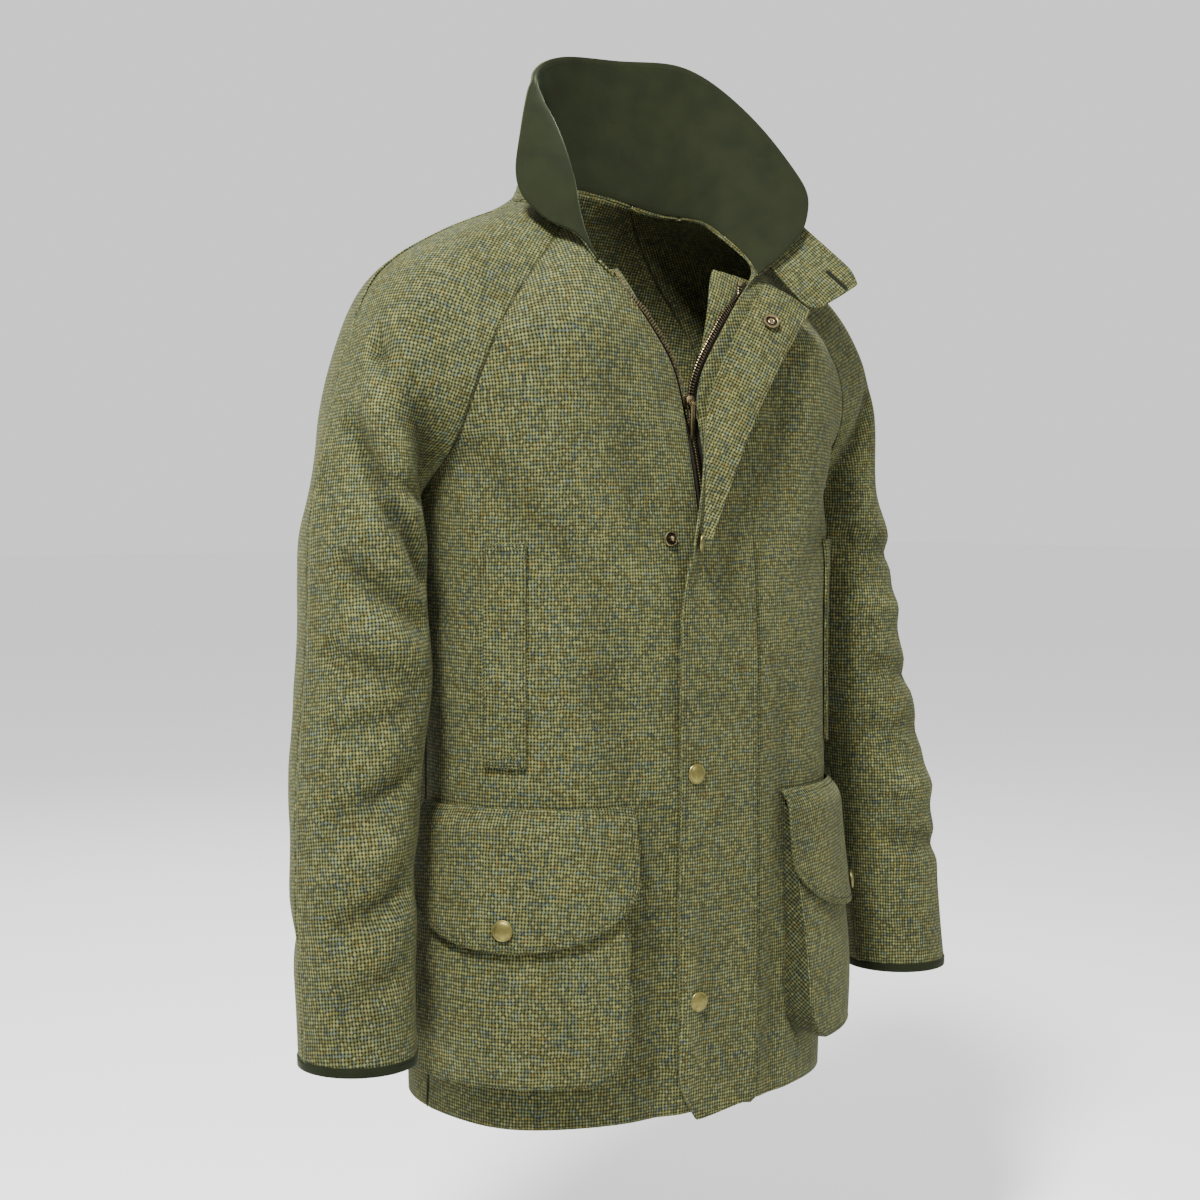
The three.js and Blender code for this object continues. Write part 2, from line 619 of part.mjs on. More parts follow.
const TAB_ROWS = 6;
const TAB_COLUMNS = 5;
const TAB_ROUNDING = 0.12;
function tabRows() {
  const [baseLow, baseHigh] = TAB.base.map(point);
  const [endLow, endHigh] = TAB.end.map(point);
  return steps(TAB_ROWS).map((along) => {
    const low = baseLow.clone().lerp(endLow, along);
    const high = baseHigh.clone().lerp(endHigh, along);
    const nearEnd = clamp01((along - 0.8) / 0.2);
    const drawn = TAB_ROUNDING * (1 - Math.sqrt(1 - nearEnd ** 2));
    return steps(TAB_COLUMNS).map((u) => {
      const p = low.clone().lerp(high, lerp(drawn, 1 - drawn, u));
      return p.setY(p.y - 3 * Math.sin(Math.PI * u) * along);
    });
  });
}
cloth("throat_tab", surface(tabRows().reverse()), tweed(0x5f6442), { thick: FLAP_THICK });

// ---------- pockets ----------
// A point on the coat's side panels: distance round from the centre front, height, and how
// far it stands off the cloth.
function onPanel(round, z, off, side) {
  const { rows, normals } = side > 0 ? leftFront : rightFront;
  const total = frontArc(z).total;
  const across = (FRONT_COLUMNS * (round - ZIP_HALF)) / (total - ZIP_HALF);
  const down = HEAD_ROWS + (SKIRT_ROWS * (ARMPIT_Z - z)) / (ARMPIT_Z - HEM_Z);
  const [i, j] = [Math.floor(down), Math.min(Math.floor(across), FRONT_COLUMNS - 1)];
  const [v, u] = [down - i, across - j];
  const between = (grid) => {
    const at = (row, col) => grid[row][side > 0 ? col : FRONT_COLUMNS - col];
    const upper = at(i, j).clone().lerp(at(i, j + 1), u);
    return upper.lerp(at(i + 1, j).clone().lerp(at(i + 1, j + 1), u), v);
  };
  const out = between(normals).setZ(0).normalize();
  return between(rows).addScaledVector(out, off);
}

const sided = (rows, side) => (side > 0 ? rows : rows.map((row) => [...row].reverse()));
const SIDES = [
  { word: "left", side: 1 },
  { word: "right", side: -1 },
];

// The bag stands off the panel on its gusset, deeper at the foot, open under the flap.
const BAG_ACROSS = [0, 0.02, 0.08, 0.2, 0.35, 0.5, 0.65, 0.8, 0.92, 0.98, 1];
const BAG_DOWN = [0, 0.12, 0.27, 0.42, 0.57, 0.7, 0.8, 0.88, 0.945, 0.982, 1];
const BAG_WALL = 1.8;
const BAG_FOOT = 1.2; // the gusset's foot above the panel
function bagGrid(side, skin) {
  const centre = (POCKET.from + POCKET.to) / 2;
  const inset = skin ? BAG_WALL : 0;
  const halfWidth = (POCKET.to - POCKET.from) / 2 - inset;
  const bottom = POCKET.bottom + inset;
  const rows = BAG_DOWN.map((v) => {
    const z = lerp(POCKET.top, bottom, v);
    const cut = roundedCorner(z - bottom, POCKET.corner - inset);
    const stand = lerp(POCKET.shallow, POCKET.deep, smooth(v * 1.15)) - inset;
    return BAG_ACROSS.map((u, j) => {
      const onFoot = j === 0 || j === BAG_ACROSS.length - 1 || v === 1;
      const swell = 3 * Math.sin(Math.PI * u) * Math.sin(Math.PI * clamp01(v));
      const round = centre + (2 * u - 1) * (halfWidth - cut);
      return onPanel(round, z, onFoot ? BAG_FOOT : stand + swell, side);
    });
  });
  return sided(rows, side);
}

const FLAP_DOWN = [0, 0.12, 0.3, 0.5, 0.7, 0.86, 1];
const FLAP_ACROSS = 12;
const POCKET_FLAP_THICK = 2.4;
function pocketFlapRows(side) {
  const rows = FLAP_DOWN.map((v) =>
    steps(FLAP_ACROSS).map((u) => {
      const bow = 1 - (2 * u - 1) ** 2;
      const corner = 10 * (Math.abs(2 * u - 1) ** 6);
      const foot = lerp(FLAP.sides, FLAP.middle, bow ** 0.8) + corner;
      const z = lerp(FLAP.top, foot, v);
      const down = clamp01((POCKET.top + 8 - z) / (POCKET.top - POCKET.bottom));
      const bag = lerp(POCKET.shallow, POCKET.deep, smooth(down * 1.15)) + 3 * Math.sin(Math.PI * u);
      const over = smooth((FLAP.top - z) / 13);
      const off = lerp(0.8, bag + 2.2, over) + POCKET_FLAP_THICK;
      return onPanel(lerp(FLAP.from, FLAP.to, u), z, off, side);
    }),
  );
  return sided(rows, side);
}

const WELT_ROWS = 8;
function weltRows(side) {
  const rows = steps(WELT_ROWS).map((v) => {
    const z = lerp(WELT.top, WELT.bottom, v);
    return steps(4).map((u) => onPanel(lerp(WELT.from, WELT.to, u), z, WELT.thick + 0.8, side));
  });
  return sided(rows, side);
}

for (const { word, side } of SIDES) {
  const [outside, inside] = [bagGrid(side, false), bagGrid(side, true)];
  wallBetween(`${word}_pocket_bag`, outside, inside, Infinity, tweed(0x5d6240));
  const flap = surface(pocketFlapRows(side));
  cloth(`${word}_pocket_flap`, flap, tweed(0x5f6442), { thick: POCKET_FLAP_THICK });
  const welt = surface(weltRows(side));
  cloth(`${word}_handwarmer_welt`, welt, tweed(0x5f6442), { thick: WELT.thick });
}

// ---------- cuff bindings ----------
const BINDING_PROUD = 0.8;
const BINDING_THICK = 3.4;
for (const [word, sheet] of [["left", leftSleeve], ["right", rightSleeve]]) {
  const lowest = lastOf(sheet.rows);
  const ring = [0, 1].map((t) =>
    lowest.map((p) => p.clone().setZ(p.z - GAP - t * BINDING_HEIGHT)),
  );
  const band = surface(ring, 0);
  cloth(`${word}_cuff_binding`, band, moleskin(), { thick: BINDING_THICK, out: BINDING_PROUD });
}

// ---------- zip ----------
const TAPE_THICK = 0.9;
const TAPE_UNDER = 5; // hidden under the front's edge
const TAPE_SHOWN = 6;
// Each tape follows its front's edge from the neck, then runs down to the hem.
function tapeRows(edgeOfV, side) {
  const spine = [...edgeOfV].reverse().map((p) => p.clone());
  const closed = [-240, -330, -450, -600, -760].map((z) => {
    const p = frontPoint(ZIP_HALF, z);
    return p.setY(p.y + 5);
  });
  const inside = spine.map((p) => p.add(new Vector3(0, 4.5, -3)));
  const line = spline([...inside, ...closed], 28).slice(1);
  return line.map((p, i) => {
    const next = line[Math.min(i + 1, line.length - 1)];
    const before = line[Math.max(i - 1, 0)];
    const along = next.clone().sub(before).normalize();
    const out = new Vector3(0.15, -1, 0.1).normalize();
    const across = along.clone().cross(out).normalize();
    const inward = across.x > 0 ? across.negate() : across;
    const under = p.clone().addScaledVector(inward, -TAPE_UNDER);
    const shown = p.clone().addScaledVector(inward, TAPE_SHOWN);
    return side > 0 ? [shown, under] : [mirrored(under), mirrored(shown)];
  });
}

cloth("left_zip_tape", surface(tapeRows(leftV, 1)), zipTape(), { thick: TAPE_THICK });
cloth("right_zip_tape", surface(tapeRows(rightV, -1)), zipTape(), { thick: TAPE_THICK });

// ---------- snaps ----------
const Z_UP = new Vector3(0, 0, 1);
// Turned metal whose flat back lies on the cloth at a point, facing out along a direction.
function onCloth(name, profile, at, facing) {
  const outline = profile.map(([radius, height]) => new THREE.Vector2(radius, height));
  const mesh = new THREE.Mesh(new THREE.LatheGeometry(outline, SNAP_SIDES), brass());
  mesh.name = name;
  mesh.quaternion.setFromUnitVectors(Z_UP.clone(), facing);
  mesh.position.copy(at).addScaledVector(facing, GAP);
  // The lathe turns about Y: its axis is laid along the mesh's own Z.
  mesh.geometry.rotateX(Math.PI / 2);
  coat.add(mesh);
}
// Turned outlines from the axis outwards and back: radius, height off the cloth.
const CAP = [
  [0, 0], [SNAP_RADIUS - 0.8, 0], [SNAP_RADIUS, 0.9], [SNAP_RADIUS - 1.6, 2.1], [4, 2.8], [0, 3],
];
const STUD = [
  [0, 0], [6.6, 0], [6.6, 0.7], [3, 1], [2, 1.4], [2, 2.6], [2.5, 3.4], [1.8, 4.2], [0, 4.5],
];
const SOCKET = [[0, 0], [7, 0], [7.2, 0.8], [5.8, 1.6], [4, 1.5], [3.4, 0.7], [2.2, 0.6], [0, 0.6]];

// The point and outward direction of a sheet nearest to a place.
function nearest(sheet, place) {
  let best = null;
  sheet.rows.forEach((row, i) =>
    row.forEach((p, j) => {
      const apart = p.distanceTo(place);
      if (!best || apart < best.apart) best = { apart, normal: sheet.normals[i][j], p };
    }),
  );
  const { normal, p } = best;
  const offPlane = place.clone().sub(p).dot(normal);
  return { at: place.clone().addScaledVector(normal, -offPlane), facing: normal.clone() };
}

const flapSheet = surface(flapRows);
const lapelSheet = surface(lapelRows());
const SNAP_PLACES = [
  { name: "placket_snap_top", sheet: flapSheet, profile: CAP, place: [-23, -163, -306], off: 1.6 },
  { name: "placket_snap_middle", sheet: flapSheet, profile: CAP, place: [-24, -156, -506] },
  { name: "placket_snap_low", sheet: flapSheet, profile: CAP, place: [-20, -156, -706] },
  { name: "right_front_stud", sheet: rightFront, profile: STUD, place: [-41, -142, -303], off: 1 },
  { name: "lapel_socket", sheet: lapelSheet, profile: SOCKET, place: [72, -141, -110] },
];
for (const { name, sheet, profile, place, off = 0 } of SNAP_PLACES) {
  const { at, facing } = nearest(sheet, point(place));
  onCloth(name, profile, at.addScaledVector(facing, off), facing);
}
const FLAP_SNAP_Z = -628;
for (const { word, side } of SIDES) {
  const sheet = surface(pocketFlapRows(side));
  const middle = onPanel((FLAP.from + FLAP.to) / 2 + 2, FLAP_SNAP_Z, POCKET.deep, side);
  const { at, facing } = nearest(sheet, middle);
  onCloth(`${word}_flap_snap`, CAP, at, facing);
}

// ---------- neck facings ----------
// The strip of facing that shows inside each zip tape, widest at the neck.
const FACING_WIDTH = { left: 42, right: 24 };
const FACING_THICK = 1.2;
const FACING_ROWS = 8;
function facingRows(edgeOfV, width, side) {
  const line = spline([...edgeOfV].reverse(), FACING_ROWS + 3).slice(0, FACING_ROWS + 2);
  const inward = new Vector3(-1, 0.12, 0.22).normalize();
  return line.map((p, i) => {
    const reach = lerp(width, 5, smooth(i / FACING_ROWS) ** 0.7);
    const base = p.clone().add(new Vector3(0, 8, -4));
    const row = steps(3).map((u) => {
      const q = base.clone().addScaledVector(inward, -4 + u * (reach + 4));
      return q.setY(q.y - 2 * Math.sin(Math.PI * u));
    });
    return side > 0 ? row.reverse() : row.map(mirrored);
  });
}
const FACING_WORDS = { left: [leftV, 1], right: [rightV, -1] };
for (const [word, [edgeOfV, side]] of Object.entries(FACING_WORDS)) {
  const facing = surface(facingRows(edgeOfV, FACING_WIDTH[word], side));
  cloth(`${word}_neck_facing`, facing, tweed(0x646a46), { thick: FACING_THICK });
}

// ---------- zip slider and pull ----------
const SLIDER = { width: 8.6, foot: 6.6, height: 11, depth: 4.4, front: -121.6 };
const AXLE = { radius: 0.75, ahead: 2.7, drop: 1 };
const LUG = { thick: 1.1, height: 3 };
const PULL = { width: 4.4, thick: 1.4, eye: 1.95, bore: 1.15 };
const axleY = SLIDER.front - AXLE.ahead;
const axleZ = SLIDER_Z - AXLE.drop;

const wasm = await Module();
wasm.setup();

function solid(geometry) {
  const bare = new THREE.BufferGeometry();
  const loose = geometry.index ? geometry.toNonIndexed() : geometry;
  bare.setAttribute("position", loose.getAttribute("position"));
  const merged = mergeVertices(bare, 1e-4);
  const shape = { numProp: 3, vertProperties: merged.attributes.position.array };
  const triVerts = new Uint32Array(merged.index.array);
  return new wasm.Manifold(new wasm.Mesh({ ...shape, triVerts }));
}

function geometryOf(made) {
  const { vertProperties, triVerts } = made.getMesh();
  const geometry = new THREE.BufferGeometry();
  geometry.setAttribute("position", new THREE.BufferAttribute(vertProperties, 3));
  geometry.setIndex(new THREE.BufferAttribute(triVerts, 1));
  return geometry;
}

function sliderGeometry() {
  const { width, foot, height, depth } = SLIDER;
  const outline = new THREE.Shape([
    new THREE.Vector2(-width / 2, height / 2 - 2),
    new THREE.Vector2(-foot / 2, -height / 2),
    new THREE.Vector2(foot / 2, -height / 2),
    new THREE.Vector2(width / 2, height / 2 - 2),
    new THREE.Vector2(width / 2 - 1.6, height / 2),
    new THREE.Vector2(-width / 2 + 1.6, height / 2),
  ]);
  const body = new THREE.ExtrudeGeometry(outline, { depth, bevelEnabled: false });
  body.rotateX(Math.PI / 2);
  body.translate(0, depth, 0);
  let made = solid(body);
  const lugX = PULL.width / 2 + 0.35 + LUG.thick / 2;
  for (const side of [-1, 1]) {
    const lug = new THREE.BoxGeometry(LUG.thick, AXLE.ahead + 1.5, LUG.height);
    lug.translate(side * lugX, (0.8 - AXLE.ahead) / 2, -AXLE.drop);
    made = made.add(solid(lug));
  }
  const axle = new THREE.CylinderGeometry(AXLE.radius, AXLE.radius, 2 * lugX, 12);
  axle.rotateZ(Math.PI / 2);
  axle.translate(0, -AXLE.ahead, -AXLE.drop);
  return geometryOf(made.add(solid(axle)));
}

const slider = new THREE.Mesh(sliderGeometry(), brass());
slider.name = "zip_slider";
slider.position.set(ZIP_X, SLIDER.front, SLIDER_Z);
coat.add(slider);

// The pull's outline seen from its side: an eye round the axle and a flat tail.
function pullGeometry() {
  const turn = Math.asin(PULL.thick / 2 / PULL.eye);
  const outline = new THREE.Shape();
  outline.absarc(0, 0, PULL.eye, -Math.PI / 2 + turn, 1.5 * Math.PI - turn, false);
  outline.lineTo(-PULL.thick / 2, -PULL_LENGTH + 1);
  outline.lineTo(-PULL.thick / 2 + 0.4, -PULL_LENGTH);
  outline.lineTo(PULL.thick / 2 - 0.4, -PULL_LENGTH);
  outline.lineTo(PULL.thick / 2, -PULL_LENGTH + 1);
  outline.closePath();
  outline.holes.push(new THREE.Path().absarc(0, 0, PULL.bore, 0, 2 * Math.PI, true));
  const depth = PULL.width;
  const made = new THREE.ExtrudeGeometry(outline, { depth, bevelEnabled: false, curveSegments: 10 });
  made.translate(0, 0, -PULL.width / 2);
  return made;
}
const pull = new THREE.Mesh(pullGeometry(), brass());
pull.name = "zip_pull";
// The outline's own X becomes the coat's Y, its Y becomes Z and its depth lies along X.
pull.rotation.set(Math.PI / 2, Math.PI / 2, 0, "XYZ");
pull.position.set(ZIP_X, axleY, axleZ);
coat.add(pull);

export default coat;
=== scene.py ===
"""A man's raglan field coat in olive tweed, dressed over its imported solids.

Every cloth piece is a thin shell on its solid's form with the creases it hangs in, and the
sewing, zip teeth and snaps lie on those shells. All lengths in tables are millimetres.
"""

import logging
import math
from collections.abc import Callable
from dataclasses import dataclass, field
from enum import Enum

import bmesh
import bpy
import numpy as np
from mathutils import Matrix, Vector
from mathutils.bvhtree import BVHTree


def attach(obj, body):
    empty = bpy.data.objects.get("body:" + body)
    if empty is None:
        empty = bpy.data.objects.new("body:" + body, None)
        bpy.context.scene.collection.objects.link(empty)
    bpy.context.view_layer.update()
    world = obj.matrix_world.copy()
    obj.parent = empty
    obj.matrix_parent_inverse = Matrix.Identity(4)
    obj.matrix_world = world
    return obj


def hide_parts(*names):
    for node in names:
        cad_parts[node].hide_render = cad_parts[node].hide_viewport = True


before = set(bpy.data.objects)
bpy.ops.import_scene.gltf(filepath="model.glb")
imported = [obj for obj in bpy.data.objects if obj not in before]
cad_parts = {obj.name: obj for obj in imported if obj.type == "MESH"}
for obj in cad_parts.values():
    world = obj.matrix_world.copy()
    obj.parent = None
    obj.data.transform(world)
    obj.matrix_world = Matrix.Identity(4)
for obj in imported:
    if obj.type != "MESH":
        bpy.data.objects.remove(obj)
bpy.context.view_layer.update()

log = logging.getLogger("field_coat")

MM = 0.001
COAT = "coat"
PULL = "pull_tab"
GRAIN_UV = "grain"
# the point attribute of crease depth by which the tweed paints shade into troughs and light on ridges
FOLD = "fold"
Triple = tuple[float, float, float]
Keep = Callable[[Vector], bool]


# ---------- where things lie ----------
class Region(Enum):
    """The parts of the coat that fold on their own."""

    BODY = "body"
    LEFT_SLEEVE = "left_sleeve"
    RIGHT_SLEEVE = "right_sleeve"
    COLLAR = "collar"


@dataclass(frozen=True)
class ArmLevel:
    """The middle of the left sleeve's tube at one height."""

    z: float
    x: float
    y: float


ARM_AXIS = (
    ArmLevel(-730, 316, -49),
    ArmLevel(-642, 313, -38),
    ArmLevel(-590, 310, -31),
    ArmLevel(-520, 301, -20),
    ArmLevel(-436, 283, -9),
    ArmLevel(-364, 271, -3),
    ArmLevel(-304, 265, -2),
    ArmLevel(-250, 245, 0),
    ArmLevel(-215, 225, 3),
)
RIGHT_ARM_IN = 17  # how much nearer the body the right arm hangs from the elbow down
RIGHT_ARM_TURN = -0.268  # the height in metres at which it starts to lie nearer
RIGHT_ARM_RUN = 0.2  # the length in metres over which it comes in
BODY_HALF_WIDTH, BODY_HALF_DEPTH = 0.2, 0.145  # the oval, in metres, that the body's way out follows


def arm_centre(points: np.ndarray, region: Region) -> np.ndarray:
    """Gives the middle of a sleeve beside each point.

    Args:
        points: Places in metres, one a row.
        region: The sleeve they lie on.

    Returns:
        The middles, in metres.
    """
    levels = np.array([level.z for level in ARM_AXIS]) * MM
    z = np.clip(points[:, 2], levels[0], levels[-1])
    x = np.interp(z, levels, np.array([level.x for level in ARM_AXIS]) * MM)
    y = np.interp(z, levels, np.array([level.y for level in ARM_AXIS]) * MM)
    if region is Region.RIGHT_SLEEVE:
        x = -(x - RIGHT_ARM_IN * MM * np.clip((RIGHT_ARM_TURN - z) / RIGHT_ARM_RUN, 0, 1))
    return np.stack([x, y, z], axis=1)


def outward(points: np.ndarray, region: Region) -> np.ndarray:
    """Gives the direction away from the wearer at each point.

    Args:
        points: Places in metres, one a row.
        region: The part of the coat they lie on.

    Returns:
        Unit directions, one a row.
    """
    if region in (Region.LEFT_SLEEVE, Region.RIGHT_SLEEVE):
        away = points - arm_centre(points, region)
    else:
        x, y = points[:, 0] / BODY_HALF_WIDTH**2, points[:, 1] / BODY_HALF_DEPTH**2
        away = np.stack([x, y, np.zeros(len(points))], axis=1)
    return away / np.maximum(np.linalg.norm(away, axis=1, keepdims=True), 1e-9)


# ---------- creases ----------
@dataclass(frozen=True)
class Crease:
    """A soft trough, or a ridge where its depth is negative, pressed along a line."""

    region: Region
    start: Triple
    end: Triple
    width: float
    depth: float


LEFT, RIGHT, BODY = Region.LEFT_SLEEVE, Region.RIGHT_SLEEVE, Region.BODY
CREASES = (
    # The right sleeve: drag lines from the armpit, then the bend of the elbow.
    Crease(RIGHT, (-274, -40, -128), (-222, -58, -252), 10, 17),
    Crease(RIGHT, (-286, -46, -176), (-262, -70, -236), 13, -8),
    Crease(RIGHT, (-298, -40, -206), (-270, -68, -286), 10, 13),
    Crease(RIGHT, (-272, -68, -280), (-232, -60, -338), 10, 15),
    Crease(RIGHT, (-280, -64, -252), (-236, -64, -270), 8, 9),
    Crease(RIGHT, (-306, -48, -322), (-244, -66, -376), 11, 12),
    Crease(RIGHT, (-300, -52, -362), (-252, -70, -398), 14, -6),
    Crease(RIGHT, (-314, -40, -396), (-252, -72, -428), 11, 11),
    Crease(RIGHT, (-318, -50, -462), (-258, -76, -444), 10, 10),
    Crease(RIGHT, (-318, -60, -528), (-258, -80, -498), 11, 12),
    Crease(RIGHT, (-322, -70, -564), (-270, -86, -552), 14, -7),
    Crease(RIGHT, (-326, -74, -618), (-264, -88, -588), 11, 12),
    Crease(RIGHT, (-330, -80, -680), (-274, -96, -654), 13, 8),
    Crease(RIGHT, (-250, 20, -420), (-330, 36, -470), 16, 9),
    Crease(RIGHT, (-262, 0, -520), (-340, 20, -560), 15, 10),
    Crease(RIGHT, (-300, 58, -330), (-240, 62, -290), 16, 9),
    Crease(RIGHT, (-300, 10, -600), (-345, -20, -640), 14, 7),
    # The left sleeve bends a little further.
    Crease(LEFT, (258, -68, -160), (222, -64, -258), 12, 11.2),
    Crease(LEFT, (318, -36, -330), (232, -62, -306), 12, 11.2),
    Crease(LEFT, (326, -28, -384), (244, -64, -362), 15, -9),
    Crease(LEFT, (334, -40, -452), (262, -74, -430), 11, 10.1),
    Crease(LEFT, (350, -30, -508), (262, -70, -492), 14, 10.1),
    Crease(LEFT, (356, -50, -560), (276, -88, -546), 16, -9),
    Crease(LEFT, (362, -60, -622), (270, -86, -600), 11, 10.1),
    Crease(LEFT, (262, 24, -410), (340, 40, -462), 15, 9),
    Crease(LEFT, (276, 6, -528), (352, 22, -566), 14, 10.1),
    Crease(LEFT, (300, 60, -330), (244, 64, -286), 15, 9),
    # The chest: drag from the armpit towards the zip, and the break at the flap.
    Crease(BODY, (-196, -72, -232), (-120, -122, -330), 20, 7.29),
    Crease(BODY, (196, -72, -232), (128, -120, -330), 20, 7.29),
    Crease(BODY, (-96, -120, -150), (-66, -140, -300), 22, 5.47),
    Crease(BODY, (96, -118, -150), (82, -140, -300), 22, 5.47),
    # Long hanging folds of the skirt.
    Crease(BODY, (-110, -138, -360), (-92, -140, -540), 20, 6.39),
    Crease(BODY, (-62, -145, -540), (-58, -146, -806), 17, 5.47),
    Crease(BODY, (-30, -150, -640), (-34, -150, -806), 13, -4.56),
    Crease(BODY, (92, -142, -420), (86, -144, -640), 20, 5.47),
    Crease(BODY, (76, -146, -660), (74, -146, -806), 14, 5.47),
    Crease(BODY, (-205, 10, -420), (-204, 4, -780), 22, 7.29),
    Crease(BODY, (205, 10, -420), (204, 4, -780), 22, 7.29),
    # The back: a hollow between the shoulder blades and folds that hang from them.
    Crease(BODY, (0, 130, -90), (6, 140, -420), 34, 7.29),
    Crease(BODY, (-92, 126, -250), (-112, 112, -700), 22, -9.11),
    Crease(BODY, (100, 124, -270), (86, 118, -690), 20, -8.21),
    Crease(BODY, (-52, 134, -430), (-40, 126, -800), 19, 8.21),
    Crease(BODY, (40, 134, -380), (48, 126, -800), 17, 8.21),
    Crease(BODY, (-188, 66, -270), (-140, 104, -390), 17, 9.11),
    Crease(BODY, (188, 66, -270), (144, 102, -380), 17, 9.11),
    # The collar's soft bend where it stands.
    Crease(Region.COLLAR, (-62, 66, 90), (-74, 62, 126), 14, 2.5),
    Crease(Region.COLLAR, (84, 62, 96), (108, 46, 140), 18, 2.5),
)

SQUARE_TO = 0.5  # a face whose normal leans less than this on the way out stands square to it
FULL_FOLD = 0.011  # the depth of a trough at which the tweed takes its full painted shade
FOLD_RANGE = (-0.4, 1.0)  # how far a ridge may be lightened by painted light and a trough darkened by painted shade
CREASE_REACH = 0.035  # a crease presses the cloth that lies within about this far under its line
CREASE_ENDS = 0.35  # the share of its depth that a crease has where it dies out
CREASE_PEAK = (0.12, 0.8)  # where along its sine a crease starts, and how much of it it runs through
BANK = 0.3  # how much of its depth a trough pushes up beside itself


def crease_shift(points: np.ndarray, region: Region) -> np.ndarray:
    """Adds up how far the creases of a region move each point.

    Args:
        points: Places in metres, one a row.
        region: The part of the coat they lie on.

    Returns:
        The moves in metres, one a row.
    """
    height = np.zeros(len(points))
    away = outward(points, region)
    for crease in CREASES:
        if crease.region is not region:
            continue
        a, b = np.array(crease.start) * MM, np.array(crease.end) * MM
        along = b - a
        t = np.clip((points - a) @ along / (along @ along), 0, 1)
        offset = points - a - t[:, None] * along
        under = (offset * away).sum(axis=1)
        beside = np.linalg.norm(offset - under[:, None] * away, axis=1) / (crease.width * MM)
        same_side = np.exp(-((under / CREASE_REACH) ** 2))
        rise = np.sin(np.pi * np.clip(CREASE_PEAK[0] + CREASE_PEAK[1] * t, 0, 1))
        fade = CREASE_ENDS + (1 - CREASE_ENDS) * rise
        trough = np.exp(-(beside**2)) - BANK * np.exp(-((beside / 2) ** 2))
        height -= crease.depth * MM * fade * same_side * trough
    return away * height[:, None]


# ---------- mesh helpers ----------
MERGE_DISTANCE = 2e-5  # corners nearer than this, in metres, are one
NEARLY_FLAT, NEARLY_SQUARE = math.radians(50), math.radians(60)  # where two triangles make one face


def activate(obj: bpy.types.Object) -> None:
    """Selects one object alone and makes it the active one."""
    bpy.ops.object.select_all(action="DESELECT")
    obj.select_set(True)
    bpy.context.view_layer.objects.active = obj


def apply_modifier(obj: bpy.types.Object, kind: str, **settings: object) -> None:
    """Adds a modifier with its settings and applies it.

    Args:
        obj: The piece.
        kind: The modifier's type.
        **settings: Values for its properties.
    """
    activate(obj)
    modifier = obj.modifiers.new(kind.lower(), kind)
    for key, value in settings.items():
        setattr(modifier, key, value)
    bpy.ops.object.modifier_apply(modifier=modifier.name)


def coordinates(mesh: bpy.types.Mesh) -> np.ndarray:
    """Reads a mesh's points as an array with one a row."""
    flat = np.empty(len(mesh.vertices) * 3)
    mesh.vertices.foreach_get("co", flat)
    return flat.reshape(-1, 3)


def set_coordinates(mesh: bpy.types.Mesh, points: np.ndarray) -> None:
    """Moves a mesh's points to those of an array."""
    mesh.vertices.foreach_set("co", points.ravel())
    mesh.update()


def new_object(name: str, mesh: bpy.types.Mesh) -> bpy.types.Object:
    """Links a mesh into the scene as an object of its own."""
    obj = bpy.data.objects.new(name, mesh)
    bpy.context.scene.collection.objects.link(obj)
    return obj


def mesh_object(name: str, points: list, faces: list) -> bpy.types.Object:
    """Makes an object from points and faces.

    Args:
        name: The piece's name.
        points: Its corners, in metres.
        faces: Corner numbers, a tuple a face.

    Returns:
        The object.
    """
    mesh = bpy.data.meshes.new(name)
    mesh.from_pydata([tuple(p) for p in points], [], faces)
    mesh.update()
    return new_object(name, mesh)


def copy_of_node(node: str, name: str) -> bpy.types.Object:
    """Copies a CAD node's mesh into a new object, with its loose triangles merged.

    Args:
        node: The solid's name.
        name: The new piece's name.

    Returns:
        The object.
    """
    obj = new_object(name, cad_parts[node].data.copy())
    obj.data.materials.clear()
    activate(obj)
    bpy.ops.object.mode_set(mode="EDIT")
    bpy.ops.mesh.select_mode(type="VERT")
    bpy.ops.mesh.select_all(action="SELECT")
    bpy.ops.mesh.remove_doubles(threshold=MERGE_DISTANCE)
    bpy.ops.mesh.tris_convert_to_quads(face_threshold=NEARLY_FLAT, shape_threshold=NEARLY_SQUARE)
    bpy.ops.object.mode_set(mode="OBJECT")
    return obj


def tree_of(mesh: bpy.types.Mesh) -> BVHTree:
    """Gives a search tree of a mesh."""
    return BVHTree.FromPolygons([v.co for v in mesh.vertices], [tuple(p.vertices) for p in mesh.polygons])


# ---------- cloth ----------
SHARP_EDGE = math.radians(48)  # a wall's edge that turns more than this ends its side
NO_AREA, NO_TURN = 1e-12, 1e-14  # what counts as nothing in square metres, and in flat coordinates


